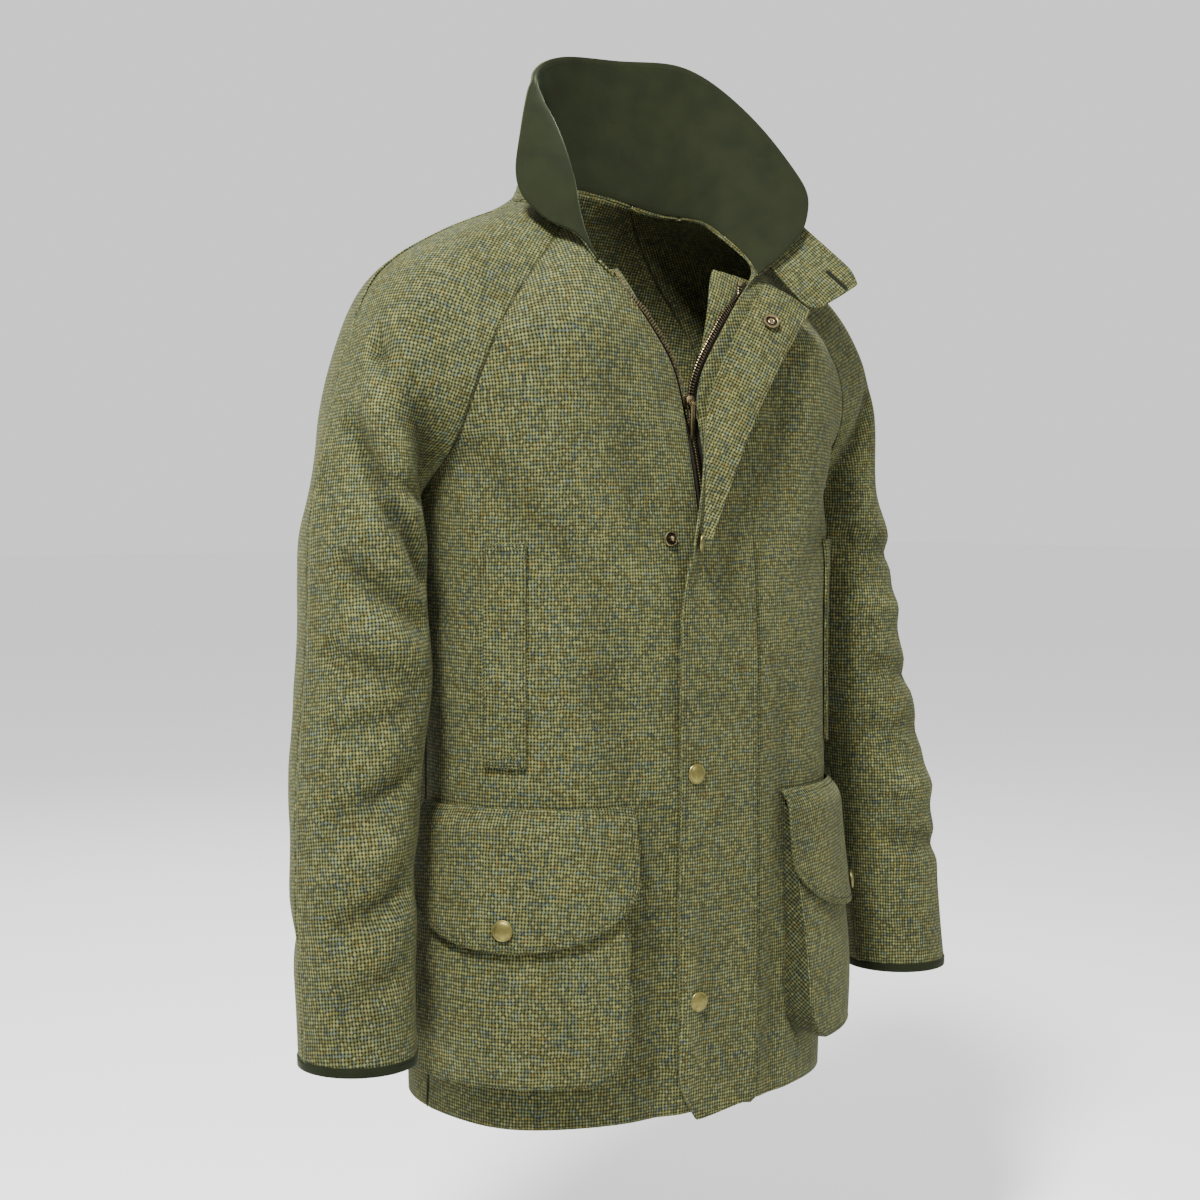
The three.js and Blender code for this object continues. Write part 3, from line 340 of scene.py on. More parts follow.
@dataclass
class ClothPiece:
    """One cut piece of cloth: a thin shell on its solid's form.

    Attributes:
        node: The solid it stands for.
        region: The part of the coat whose creases it takes.
        finish: The material's name.
        flat: The cut's width and length, in metres. Not used.
        area: The cut's area in square metres, or None for a rectangle. Not used.
        grain: The direction that the cloth's warp runs in.
        fineness: Levels of subdivision.
        outer: Whether the seen side faces away from the wearer.
        held: How the cloth is held. Not used.
        rim: How crisp its edges are, from 0 to 1.
        turned: The material of the parts that stand square to the wearer, if it is another; the pocket
            bags take a darker tweed there, painted shade on their gussets.
    """

    node: str
    region: Region
    finish: str
    flat: tuple[float, float]
    area: float | None = None
    grain: Triple = (0, 0, 1)
    fineness: int = 2
    outer: bool = True
    held: str = "hung"
    rim: float = 0.75
    turned: str = ""
    obj: bpy.types.Object | None = field(default=None, init=False)
    rims: list = field(default_factory=list, init=False)

    def build(self) -> None:
        """Makes the shell, its flat pattern and its creases."""
        self.obj = copy_of_node(self.node, f"{self.node}_cloth")
        self._crease_rims()
        self._unwrap()
        self._find_rims()
        apply_modifier(self.obj, "SUBSURF", levels=self.fineness, render_levels=self.fineness)
        points = coordinates(self.obj.data)
        shift = crease_shift(points, self.region)
        set_coordinates(self.obj.data, points + shift)
        # Each point's trough depth is stored so that the tweed paints shade into the troughs and light on
        # the ridges.
        depth = -(shift * outward(points, self.region)).sum(axis=1) / FULL_FOLD
        fold = self.obj.data.attributes.new(FOLD, "FLOAT", "POINT")
        fold.data.foreach_set("value", np.clip(depth, *FOLD_RANGE))
        activate(self.obj)
        bpy.ops.object.shade_smooth()
        self.obj.data.materials.append(FINISHES[self.finish])
        # The faces that stand square to the wearer take the second material, on the pocket bags a darker
        # tweed painted as shade on the gussets.
        if self.turned:
            self.obj.data.materials.append(FINISHES[self.turned])
            centres = np.array([face.center for face in self.obj.data.polygons])
            for face, away in zip(self.obj.data.polygons, outward(centres, self.region)):
                face.material_index = int(abs(face.normal.dot(Vector(away))) < SQUARE_TO)
        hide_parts(self.node)
        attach(self.obj, COAT)
        log.info("%s: %d faces", self.obj.name, len(self.obj.data.polygons))

    def _crease_rims(self) -> None:
        """Marks the sharp edges of the wall as seams of the pattern and holds them crisp."""
        bpy.ops.object.mode_set(mode="EDIT")
        bpy.ops.mesh.select_mode(type="EDGE")
        bpy.ops.mesh.select_all(action="DESELECT")
        bpy.ops.mesh.edges_select_sharp(sharpness=SHARP_EDGE)
        bpy.ops.mesh.mark_seam(clear=False)
        bpy.ops.transform.edge_crease(value=self.rim)
        bpy.ops.object.mode_set(mode="OBJECT")

    def _unwrap(self) -> None:
        """Lays the piece out flat at its real size with its warp upright."""
        activate(self.obj)
        bpy.ops.object.mode_set(mode="EDIT")
        bpy.ops.mesh.select_all(action="SELECT")
        bpy.ops.uv.unwrap(method="ANGLE_BASED", margin=0.0)
        bpy.ops.object.mode_set(mode="OBJECT")
        mesh = self.obj.data
        mesh.uv_layers.active.name = GRAIN_UV
        shape = bmesh.new()
        shape.from_mesh(mesh)
        layer = shape.loops.layers.uv.active
        grain = Vector(self.grain).normalized()
        for island in self._islands(shape):
            self._true_up(island, layer, grain)
        shape.to_mesh(mesh)
        shape.free()

    @staticmethod
    def _islands(shape: bmesh.types.BMesh) -> list[list[bmesh.types.BMFace]]:
        """Groups faces that no seam parts.

        Args:
            shape: The piece.

        Returns:
            The groups of faces.
        """
        left, islands = set(shape.faces), []
        while left:
            stack, island = [left.pop()], []
            while stack:
                face = stack.pop()
                island.append(face)
                for edge in face.edges:
                    if edge.seam:
                        continue
                    for other in edge.link_faces:
                        if other in left:
                            left.discard(other)
                            stack.append(other)
            islands.append(island)
        return islands

    @staticmethod
    def _true_up(island: list, layer: bmesh.types.BMLayerItem, grain: Vector) -> None:
        """Scales an island of the pattern to metres and turns its warp upright.

        Args:
            island: Its faces.
            layer: Their pattern coordinates.
            grain: The warp's direction on the coat.
        """
        real = sum(face.calc_area() for face in island)
        drawn = 0.0
        turn = Vector((0.0, 0.0))
        for face in island:
            loops = face.loops
            a, b, c = (loop[layer].uv for loop in (loops[0], loops[1], loops[2]))
            flat = Matrix(((b.x - a.x, c.x - a.x), (b.y - a.y, c.y - a.y)))
            for k in range(1, len(loops) - 1):
                e, f = loops[k][layer].uv - a, loops[k + 1][layer].uv - a
                drawn += abs(e.x * f.y - e.y * f.x) / 2
            p, q = loops[1].vert.co - loops[0].vert.co, loops[2].vert.co - loops[0].vert.co
            size = p.cross(q).length
            if size < NO_AREA or abs(flat.determinant()) < NO_TURN:
                continue
            pp, pq, qq = p.dot(p), p.dot(q), q.dot(q)
            gp, gq = grain.dot(p), grain.dot(q)
            whole = pp * qq - pq * pq
            s, t = (gp * qq - gq * pq) / whole, (gq * pp - gp * pq) / whole
            turn += (flat @ Vector((s, t))).normalized() * size
        scale = math.sqrt(real / max(drawn, NO_AREA))
        angle = math.pi / 2 - math.atan2(turn.y, turn.x)
        spin = Matrix.Rotation(angle, 2) * scale
        for face in island:
            for loop in face.loops:
                loop[layer].uv = spin @ loop[layer].uv

    def _find_rims(self) -> None:
        """Finds the rim lines of the seen side, each point with its way in."""
        shape = bmesh.new()
        shape.from_mesh(self.obj.data)
        shape.normal_update()
        islands = sorted(self._islands(shape), key=lambda i: -sum(f.calc_area() for f in i))[:2]
        facing = [self._mean_facing(island) for island in islands]
        pick = 0 if (facing[0] > facing[1]) == self.outer else 1
        seen = set(islands[pick])
        chains = {}
        for edge in shape.edges:
            inside = [face for face in edge.link_faces if face in seen]
            if not (edge.seam and len(inside) == 1):
                continue
            a, b = edge.verts
            face = inside[0]
            way = (b.co - a.co).cross(face.normal).normalized()
            if way.dot(face.calc_center_median() - (a.co + b.co) / 2) < 0:
                way.negate()
            chains.setdefault(a, []).append((b, way, face.normal.copy()))
            chains.setdefault(b, []).append((a, way, face.normal.copy()))
        self.rims = self._walk(chains)
        shape.free()

    def _mean_facing(self, island: list) -> float:
        """Says how far an island's faces look away from the wearer.

        Args:
            island: Its faces.

        Returns:
            The mean, from -1 for towards the wearer to 1 for away.
        """
        centres = np.array([tuple(face.calc_center_median()) for face in island])
        away = outward(centres, self.region)
        normals = np.array([tuple(face.normal) for face in island])
        return float((away * normals).sum(axis=1).mean())

    @staticmethod
    def _walk(chains: dict) -> list:
        """Joins rim edges end to end.

        Args:
            chains: Each corner with its neighbours, ways in and normals.

        Returns:
            Loops of (place, way in, normal), a loop for each rim.
        """
        loops, used = [], set()
        for start in chains:
            if start in used:
                continue
            loop, here, before = [], start, None
            while here not in used:
                used.add(here)
                links = chains[here]
                way = sum((link[1] for link in links), Vector()).normalized()
                normal = sum((link[2] for link in links), Vector()).normalized()
                loop.append((here.co.copy(), way, normal))
                onward = [link[0] for link in links if link[0] is not before and link[0] not in used]
                if not onward:
                    break
                before, here = here, onward[0]
            loops.append(loop)
        return loops

    def surface(self) -> BVHTree:
        """Gives a search tree of the finished shell."""
        return tree_of(self.obj.data)

    def solid(self) -> BVHTree:
        """Gives a search tree of the piece's solid, before its creases."""
        return tree_of(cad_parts[self.node].data)


# ---------- finishes ----------
Colour = tuple[float, float, float, float]


def shade(red: float, green: float, blue: float) -> Colour:
    """Makes a full colour from its three parts."""
    return (red, green, blue, 1.0)


class Nodes:
    """A short way to add and join shader nodes in one tree."""

    def __init__(self, tree: bpy.types.NodeTree) -> None:
        """Takes the tree that the nodes go in."""
        self.tree = tree

    def add(self, kind: str, inputs: dict | None = None, **settings: object) -> bpy.types.Node:
        """Adds a node.

        Args:
            kind: Its type, without the ShaderNode that all begin with.
            inputs: Values or sockets for its inputs, by name or number.
            **settings: Its properties.

        Returns:
            The node.
        """
        node = self.tree.nodes.new(f"ShaderNode{kind}")
        for key, value in settings.items():
            setattr(node, key, value)
        self.feed(node, inputs or {})
        return node

    def feed(self, node: bpy.types.Node, inputs: dict) -> None:
        """Gives a node's inputs their values, or joins them to sockets.

        Args:
            node: The node.
            inputs: Values or sockets, by name or number.
        """
        for key, value in inputs.items():
            if isinstance(value, bpy.types.NodeSocket):
                self.tree.links.new(value, node.inputs[key])
            else:
                node.inputs[key].default_value = value

    def maths(self, operation: str, a: object, b: object = 0.0, c: object = 0.0) -> bpy.types.NodeSocket:
        """Works one sum out on numbers or sockets and gives its socket."""
        return self.add("Math", {0: a, 1: b, 2: c}, operation=operation).outputs[0]

    def vector(self, operation: str, a: object, b: object = (0, 0, 0)) -> bpy.types.NodeSocket:
        """Works one sum out on vectors and gives its socket."""
        return self.add("VectorMath", {0: a, 1: b}, operation=operation).outputs[0]

    def mix(self, share: object, a: object, b: object, how: str = "MIX") -> bpy.types.NodeSocket:
        """Mixes two colours and gives the mixture's socket."""
        inputs = {0: share, 6: a, 7: b}
        return self.add("Mix", inputs, data_type="RGBA", blend_type=how, clamp_factor=True).outputs[2]

    def times(self, a: object, b: object) -> bpy.types.NodeSocket:
        """Multiplies two colours and gives the product's socket."""
        return self.mix(1.0, a, b, "MULTIPLY")

    def scaled(self, vector: object, by: object) -> bpy.types.NodeSocket:
        """Scales a vector or a colour by one value and gives the socket."""
        return self.add("VectorMath", {0: vector, "Scale": by}, operation="SCALE").outputs[0]

    def noise(self, place: object, scale: object, detail: float = 2.0) -> bpy.types.Node:
        """Adds a soft noise read at a place."""
        return self.add("TexNoise", {"Vector": place, "Scale": scale, "Detail": detail})

    def span(
        self, value: object, low: float, high: float, to_low: object = 0.0, to_high: object = 1.0
    ) -> bpy.types.NodeSocket:
        """Stretches one range of values on to another and gives the socket."""
        inputs = {0: value, 1: low, 2: high, 3: to_low, 4: to_high}
        return self.add("MapRange", inputs, clamp=True).outputs[0]


Started = tuple[bpy.types.NodeTree, Nodes, dict, bpy.types.Node]


def new_group(name: str, inputs: dict, outputs: dict) -> Started:
    """Starts a node group.

    Args:
        name: The group's name.
        inputs: Socket types by name, with a first value.
        outputs: Socket types by name.

    Returns:
        The tree, its helper, its input sockets by name and its output node.
    """
    tree = bpy.data.node_groups.new(name, "ShaderNodeTree")
    for key, (kind, first) in inputs.items():
        socket = tree.interface.new_socket(key, in_out="INPUT", socket_type=kind)
        if first is not None:
            socket.default_value = first
    for key, kind in outputs.items():
        tree.interface.new_socket(key, in_out="OUTPUT", socket_type=kind)
    nodes = Nodes(tree)
    given = tree.nodes.new("NodeGroupInput")
    made = tree.nodes.new("NodeGroupOutput")
    return tree, nodes, {socket.name: socket for socket in given.outputs}, made


@dataclass(frozen=True)
class Yarn:
    """A yarn colour of the tweed, as shares of its ground, and where it lies on the scale."""

    place: float
    tint: Triple


YARNS = (
    Yarn(0.18, (0.56, 0.72, 0.98)),
    Yarn(0.30, (0.76, 0.94, 1.10)),
    Yarn(0.42, (0.90, 1.02, 0.80)),
    Yarn(0.52, (1.04, 1.06, 0.58)),
    Yarn(0.62, (1.14, 1.22, 1.10)),
    Yarn(0.72, (0.98, 0.96, 0.52)),
    Yarn(0.88, (1.08, 0.80, 0.46)),
)
TINT_SCALE = 0.5  # the tints go above 1, so they are stored at half their size
MM_IN_METRE = 1000.0
WHOLE_TURN = 2 * math.pi


@dataclass(frozen=True)
class Weave:
    """The build of the tweed, its lengths in millimetres.

    Attributes:
        repeat: One lump's width across the warp.
        longer: How many times longer it is along the warp.
        rib_share: How much of the relief the warp ribs take, against the weft.
        sway: How far the rows wander, and how quickly.
        weft: How a weft yarn's tint is drawn out, across and along.
        warp: The same for a warp yarn.
        fibre: How fine the loose fibres are.
        shares: What the weft, the warp and the lump itself add to the choice of a yarn.
        lump: The range of relief that runs from a gap to a lump's top.
        light: How light a gap and a lump's top are.
        spread: How much darker and lighter single lumps are.
        fleck: How much darker and lighter single fibres are.
        fuzz: What the fibres add to the relief.
    """

    repeat: float = 2.75
    longer: float = 1.12
    rib_share: float = 0.56
    sway: tuple[float, float] = (3.0, 0.07)
    weft: Triple = (0.03, 0.4, 0.0)
    warp: Triple = (0.34, 0.03, 0.0)
    fibre: Triple = (1.3, 1.3, 0.0)
    shares: Triple = (0.36, 0.24, 0.4)
    lump: tuple[float, float] = (0.1, 0.85)
    light: tuple[float, float] = (0.06, 1.5)
    spread: tuple[float, float] = (0.6, 1.4)
    fleck: tuple[float, float] = (0.82, 1.18)
    fuzz: float = 0.25


def weave_group(cloth: Weave) -> bpy.types.NodeTree:
    """Makes the tweed weave: rows of small lumps in mixed yarns, with dark gaps between.

    Args:
        cloth: How the tweed is built.

    Returns:
        The node group.
    """
    tree, n, given, made = new_group(
        "tweed_weave",
        {
            "Pattern": ("NodeSocketVector", None),
            "Ground": ("NodeSocketColor", shade(0.2, 0.2, 0.1)),
            "Repeat": ("NodeSocketFloat", cloth.repeat),
        },
        {"Color": "NodeSocketColor", "Height": "NodeSocketFloat", "Gap": "NodeSocketFloat"},
    )
    # The pattern arrives in metres and is read in millimetres, with a slight wander.
    halves = (0.5, 0.5, 0.5)
    flat = n.scaled(given["Pattern"], MM_IN_METRE)
    far, quick = cloth.sway
    wander = n.vector("SUBTRACT", n.noise(flat, quick).outputs["Color"], halves)
    flat = n.vector("ADD", flat, n.vector("MULTIPLY", wander, (far, far, 0.0)))
    longer = n.maths("MULTIPLY", given["Repeat"], cloth.longer)
    size = n.add("CombineXYZ", {0: given["Repeat"], 1: longer, 2: 1.0}).outputs[0]
    counted = n.vector("DIVIDE", flat, size)
    cell = n.vector("FLOOR", n.vector("ADD", counted, halves))
    turned = n.vector("MULTIPLY", counted, (WHOLE_TURN, WHOLE_TURN, 0.0))
    apart = n.add("SeparateXYZ", {0: turned})
    rib, bar = (n.maths("COSINE", apart.outputs[k]) for k in (0, 1))
    lump = n.maths("MULTIPLY", rib, cloth.rib_share / 2)
    lump = n.maths("ADD", n.maths("MULTIPLY_ADD", bar, (1 - cloth.rib_share) / 2, lump), 0.5)
    # Yarns run on across many lumps, so their colour is drawn out along weft and warp.
    weft, warp, fibre = (
        n.add(
            "TexNoise",
            {"Vector": n.vector("MULTIPLY", flat, drawn), "Scale": 1.0, "Detail": 2.0},
            noise_dimensions="2D",
        ).outputs[0]
        for drawn in (cloth.weft, cloth.warp, cloth.fibre)
    )
    chance = n.add("TexWhiteNoise", {"Vector": cell}, noise_dimensions="2D")
    picks = n.add("SeparateColor", {0: chance.outputs["Color"]})
    by_weft, by_warp, by_lump = cloth.shares
    choice = n.maths("MULTIPLY", picks.outputs[0], by_lump)
    choice = n.maths("MULTIPLY_ADD", n.span(weft, 0.25, 0.75), by_weft, choice)
    choice = n.maths("MULTIPLY_ADD", n.span(warp, 0.25, 0.75), by_warp, choice)
    ramp = n.add("ValToRGB", {0: choice})
    stops = ramp.color_ramp.elements
    while len(stops) < len(YARNS):
        stops.new(0.5)
    for stop, yarn in zip(stops, YARNS):
        stop.position = yarn.place
        stop.color = shade(*(part * TINT_SCALE for part in yarn.tint))
    gap = n.span(lump, *cloth.lump)
    light = n.span(gap, 0.0, 1.0, *cloth.light)
    light = n.maths("MULTIPLY", light, n.span(picks.outputs[1], 0.0, 1.0, *cloth.spread))
    light = n.maths("MULTIPLY", light, n.span(fibre, 0.3, 0.7, *cloth.fleck))
    light = n.maths("DIVIDE", light, TINT_SCALE)
    colour = n.scaled(n.times(given["Ground"], ramp.outputs[0]), light)
    height = n.maths("MULTIPLY_ADD", fibre, cloth.fuzz, lump)
    n.feed(made, {"Color": colour, "Height": height, "Gap": gap})
    return tree


def mottle_group() -> bpy.types.NodeTree:
    """Makes broad soft changes of tone, as worn or brushed cloth and metal have."""
    tree, n, given, made = new_group(
        "soft_mottle",
        {
            "Place": ("NodeSocketVector", None),
            "Scale": ("NodeSocketFloat", 12.0),
            "Low": ("NodeSocketFloat", 0.85),
            "High": ("NodeSocketFloat", 1.15),
        },
        {"Tone": "NodeSocketColor", "Value": "NodeSocketFloat"},
    )
    noise = n.noise(given["Place"], given["Scale"], 4.0).outputs[0]
    value = n.span(noise, 0.3, 0.7, given["Low"], given["High"])
    tone = n.add("CombineColor", {0: value, 1: value, 2: value}).outputs[0]
    n.feed(made, {"Tone": tone, "Value": value})
    return tree


@dataclass(frozen=True)
class Mottle:
    """How quickly a finish's tone changes, and its darkest and lightest share."""

    scale: float
    low: float = 0.85
    high: float = 1.15

    def add(self, n: Nodes, group: bpy.types.NodeTree) -> bpy.types.Node:
        """Adds the mottle to a material, read in the object's own place.

        Args:
            n: The material's node helper.
            group: The mottle's node group.

        Returns:
            The group's node.
        """
        place = n.add("TexCoord").outputs["Object"]
        inputs = {"Place": place, "Scale": self.scale, "Low": self.low, "High": self.high}
        return n.add("Group", inputs, node_tree=group)


def new_material(name: str) -> tuple[bpy.types.Material, Nodes, bpy.types.Node]:
    """Starts a material with an empty principled shader.

    Args:
        name: The material's name.

    Returns:
        The material, its node helper and its shader.
    """
    material = bpy.data.materials.new(name)
    material.use_nodes = True
    material.node_tree.nodes.clear()
    nodes = Nodes(material.node_tree)
    shader = nodes.add("BsdfPrincipled")
    nodes.add("OutputMaterial", {0: shader.outputs[0]})
    return material, nodes, shader


def relief(n: Nodes, strength: float, distance: float, height: object) -> bpy.types.NodeSocket:
    """Adds a bump.

    Args:
        n: The material's node helper.
        strength: How strong it is, from 0 to 1.
        distance: How far the height reaches, in metres.
        height: The height's socket.

    Returns:
        The socket of its normals.
    """
    inputs = {"Strength": strength, "Distance": distance, "Height": height}
    return n.add("Bump", inputs).outputs[0]


@dataclass(frozen=True)
class TweedFinish:
    """Woollen tweed in a small check.

    Attributes:
        name: The material's name.
        ground: The ground colour of its yarns.
        bump: How far the yarns stand up, from 0 to 1.
        fold_shade: How much painted shade darkens the cloth in a full fold; ridges take painted light by
            the same share.
        fuzz: How fine its loose fibres are, and what they add to the relief.
        mottle: Its broad changes of tone.
    """

    name: str
    ground: Colour
    bump: float = 0.55
    fold_shade: float = 0.5
    fuzz: tuple[float, float] = (2600.0, 0.35)
    mottle: Mottle = Mottle(26.0, 0.9, 1.1)

    def material(self, groups: dict) -> bpy.types.Material:
        """Makes the material.

        Args:
            groups: The shared node groups by name.

        Returns:
            The material.
        """
        material, n, shader = new_material(self.name)
        pattern = n.add("UVMap", uv_map=GRAIN_UV).outputs[0]
        weave = n.add("Group", {"Pattern": pattern, "Ground": self.ground}, node_tree=groups["weave"])
        tone = self.mottle.add(n, groups["mottle"]).outputs["Tone"]
        # Painted shade darkens the colour in the troughs of the creases, and painted light lightens it on
        # their ridges.
        fold = n.add("Attribute", attribute_name=FOLD).outputs["Fac"]
        folded = n.maths("MULTIPLY_ADD", fold, -self.fold_shade, 1.0)
        fine, share = self.fuzz
        height = n.maths("MULTIPLY_ADD", n.noise(pattern, fine).outputs[0], share, weave.outputs["Height"])
        n.feed(shader, {
            "Base Color": n.times(n.times(weave.outputs["Color"], tone), folded),
            "Normal": relief(n, self.bump, 0.0006, height),
            "Roughness": 0.93,
            "Specular IOR Level": 0.1,
            "Sheen Weight": 0.07,
            "Sheen Roughness": 0.5,
            "Sheen Tint": shade(0.7, 0.72, 0.42),
        })
        return material


@dataclass(frozen=True)
class NapFinish:
    """Brushed cotton with a short nap, for the collar and the cuff bindings.

    Attributes:
        name: The material's name.
        colour: Its colour.
        nap: How fine the nap is.
        tips: How far the tips of the nap lighten it.
        mottle: Its broad changes of tone.
    """

    name: str
    colour: Colour
    nap: float = 900.0
    tips: float = 0.35
    mottle: Mottle = Mottle(38.0, 0.82, 1.2)

    def material(self, groups: dict) -> bpy.types.Material:
        """Makes the material.

        Args:
            groups: The shared node groups by name.

        Returns:
            The material.
        """
        material, n, shader = new_material(self.name)
        mottle = self.mottle.add(n, groups["mottle"])
        nap = n.noise(n.add("TexCoord").outputs["Object"], self.nap, 3.0).outputs[0]
        colour = n.times(mottle.outputs["Tone"], self.colour)
        light = n.times(colour, shade(1.5, 1.5, 1.4))
        n.feed(shader, {
            "Base Color": n.mix(n.span(nap, 0.35, 0.65, 0.0, self.tips), colour, light),
            "Normal": relief(n, 0.25, 0.0003, nap),
            "Roughness": 0.9,
            "Specular IOR Level": 0.1,
            "Sheen Weight": 0.24,
            "Sheen Roughness": 0.35,
            "Sheen Tint": shade(0.35, 0.42, 0.26),
        })
        return material


@dataclass(frozen=True)
class MetalFinish:
    """Antique metal, darker in its pits and bright where it is rubbed.

    Attributes:
        name: The material's name.
        colour: Its colour where it is rubbed.
        dark: Its colour in the pits.
        roughness: How rough it is where it is rubbed.
        duller: How much rougher its pits are.
        scratch: How fine its scratches are.
        mottle: How its wear changes.
    """

    name: str
    colour: Colour
    dark: Colour
    roughness: float
    duller: float = 0.14
    scratch: float = 1800.0
    mottle: Mottle = Mottle(260.0, 0.0, 1.0)

    def material(self, groups: dict) -> bpy.types.Material:
        """Makes the material.

        Args:
            groups: The shared node groups by name.

        Returns:
            The material.
        """
        material, n, shader = new_material(self.name)
        worn = self.mottle.add(n, groups["mottle"]).outputs["Value"]
        scratch = n.noise(n.add("TexCoord").outputs["Object"], self.scratch).outputs[0]
        n.feed(shader, {
            "Base Color": n.mix(worn, self.dark, self.colour),
            "Roughness": n.span(worn, 0.0, 1.0, self.roughness + self.duller, self.roughness),
            "Normal": relief(n, 0.12, 0.0001, scratch),
            "Metallic": 1.0,
        })
        return material


@dataclass(frozen=True)
class RibFinish:
    """A narrow woven tape or a twisted thread, ribbed across its length.

    Attributes:
        name: The material's name.
        colour: Its colour.
        rib: How fine the ribs are.
        depth: How far the ribs darken it.
        mottle: Its broad changes of tone.
    """

    name: str
    colour: Colour
    rib: float
    depth: float = 0.4
    mottle: Mottle = Mottle(60.0)

    def material(self, groups: dict) -> bpy.types.Material:
        """Makes the material.

        Args:
            groups: The shared node groups by name.

        Returns:
            The material.
        """
        material, n, shader = new_material(self.name)
        inputs = {"Vector": n.add("TexCoord").outputs["Object"], "Scale": self.rib}
        inputs |= {"Distortion": 1.5, "Detail": 2.0}
        ribs = n.add("TexWave", inputs, bands_direction="DIAGONAL").outputs[1]
        tone = n.times(self.mottle.add(n, groups["mottle"]).outputs["Tone"], self.colour)
        dark = n.times(tone, shade(0.5, 0.5, 0.5))
        n.feed(shader, {
            "Base Color": n.mix(n.maths("MULTIPLY", ribs, self.depth), tone, dark),
            "Normal": relief(n, 0.4, 0.0002, ribs),
            "Roughness": 0.85,
            "Specular IOR Level": 0.2,
        })
        return material


FINISHES: dict[str, bpy.types.Material] = {}


def make_finishes() -> None:
    """Makes every material once, from the shared groups."""
    groups = {"weave": weave_group(Weave()), "mottle": mottle_group()}
    finishes = (
        TweedFinish("tweed", shade(0.0566, 0.0563, 0.0296)),
        TweedFinish("turned_tweed", shade(0.055, 0.0535, 0.0267)),
        NapFinish("moleskin", shade(0.0062, 0.00797, 0.00267)),
        NapFinish("binding", shade(0.00634, 0.00815, 0.00305)),
        RibFinish("tape", shade(0.0117, 0.0093, 0.00564), 420.0),
        RibFinish("thread", shade(0.014, 0.014, 0.00591), 500.0),
        # A darker copy of the tweed, painted shade on the pocket bags' gussets.
        TweedFinish("gusset_shade_tweed", shade(0.0292, 0.0297, 0.015)),
        # A much darker copy of the tweed, painted shade in the grooves of the raglan and side seams.
        TweedFinish("seam_shade_tweed", shade(0.0175, 0.018, 0.00967)),
        RibFinish("dark_thread", shade(0.00936, 0.0116, 0.00483), 500.0),
        # A near-black finish, painted shade in the buttonhole's slit.
        RibFinish("slot", shade(0.00702, 0.00698, 0.00376), 300.0),
        MetalFinish("brass", shade(0.175, 0.158, 0.052), shade(0.115, 0.1, 0.031), 0.32),
        MetalFinish("bright_brass", shade(0.24, 0.196, 0.104), shade(0.112, 0.084, 0.04), 0.28),
        MetalFinish("bronze", shade(0.16, 0.126, 0.076), shade(0.056, 0.0416, 0.0256), 0.3),
        # Dark metal, painted shade in the grooves of the stud and the socket.
        MetalFinish("groove_shade", shade(0.028, 0.0224, 0.0144), shade(0.016, 0.0128, 0.0088), 0.45),
    )
    for finish in finishes:
        FINISHES[finish.name] = finish.material(groups)


# ---------- the cut pieces ----------
SIDES = ("left", "right")
SLEEVES = {"left": LEFT, "right": RIGHT}
FRONT_CUT = ((0.36, 0.80), 0.22)  # a cut's width and length in metres, and its area
SLEEVE_CUT = ((0.23, 0.86), 0.135)
COLLAR_CUT = ((0.62, 0.14), 0.066)
LAPEL_GRAIN = (145, 29, 205)
TAB_GRAIN = (38, -34, -50)
FACING_GRAIN = {"left": (60, 10, 110), "right": (-60, 10, 110)}


def cut_pieces() -> dict[str, ClothPiece]:
    """Lists the cloth pieces by their solids' names."""
    pieces = [ClothPiece("back", BODY, "tweed", (0.60, 0.90), 0.44)]
    pieces += [ClothPiece(f"{side}_front", BODY, "tweed", *FRONT_CUT) for side in SIDES]
    for side in SIDES:
        for half in ("front", "back"):
            name = f"{side}_sleeve_{half}"
            pieces.append(ClothPiece(name, SLEEVES[side], "tweed", *SLEEVE_CUT, rim=1.0))
    pieces += [
        ClothPiece("top_collar", Region.COLLAR, "moleskin", *COLLAR_CUT, outer=False),
        ClothPiece("under_collar", Region.COLLAR, "tweed", *COLLAR_CUT),
        ClothPiece("front_placket", BODY, "tweed", (0.10, 0.62), None, fineness=3),
        ClothPiece("lapel", BODY, "turned_tweed", (0.08, 0.28), 0.011, LAPEL_GRAIN, fineness=3),
        ClothPiece("throat_tab", BODY, "tweed", (0.08, 0.08), 0.005, TAB_GRAIN, fineness=3),
    ]
    for side, flat, area in (("left", (0.04, 0.13), 0.0028), ("right", (0.03, 0.13), 0.0019)):
        name, grain = f"{side}_neck_facing", FACING_GRAIN[side]
        pieces.append(ClothPiece(name, BODY, "turned_tweed", flat, area, grain, held="folded"))
    for side in SIDES:
        bag = ClothPiece(f"{side}_pocket_bag", BODY, "tweed", (0.26, 0.26), 0.058, held="folded")
        # The bag's gussets take a darker tweed, painted shade.
        bag.turned = "gusset_shade_tweed"
        cuff = f"{side}_cuff_binding"
        pieces += [
            bag,
            ClothPiece(f"{side}_pocket_flap", BODY, "tweed", (0.21, 0.12), 0.023),
            ClothPiece(f"{side}_handwarmer_welt", BODY, "tweed", (0.038, 0.19)),
            ClothPiece(cuff, SLEEVES[side], "binding", (0.32, 0.011), held="folded"),
        ]
    return {piece.node: piece for piece in pieces}


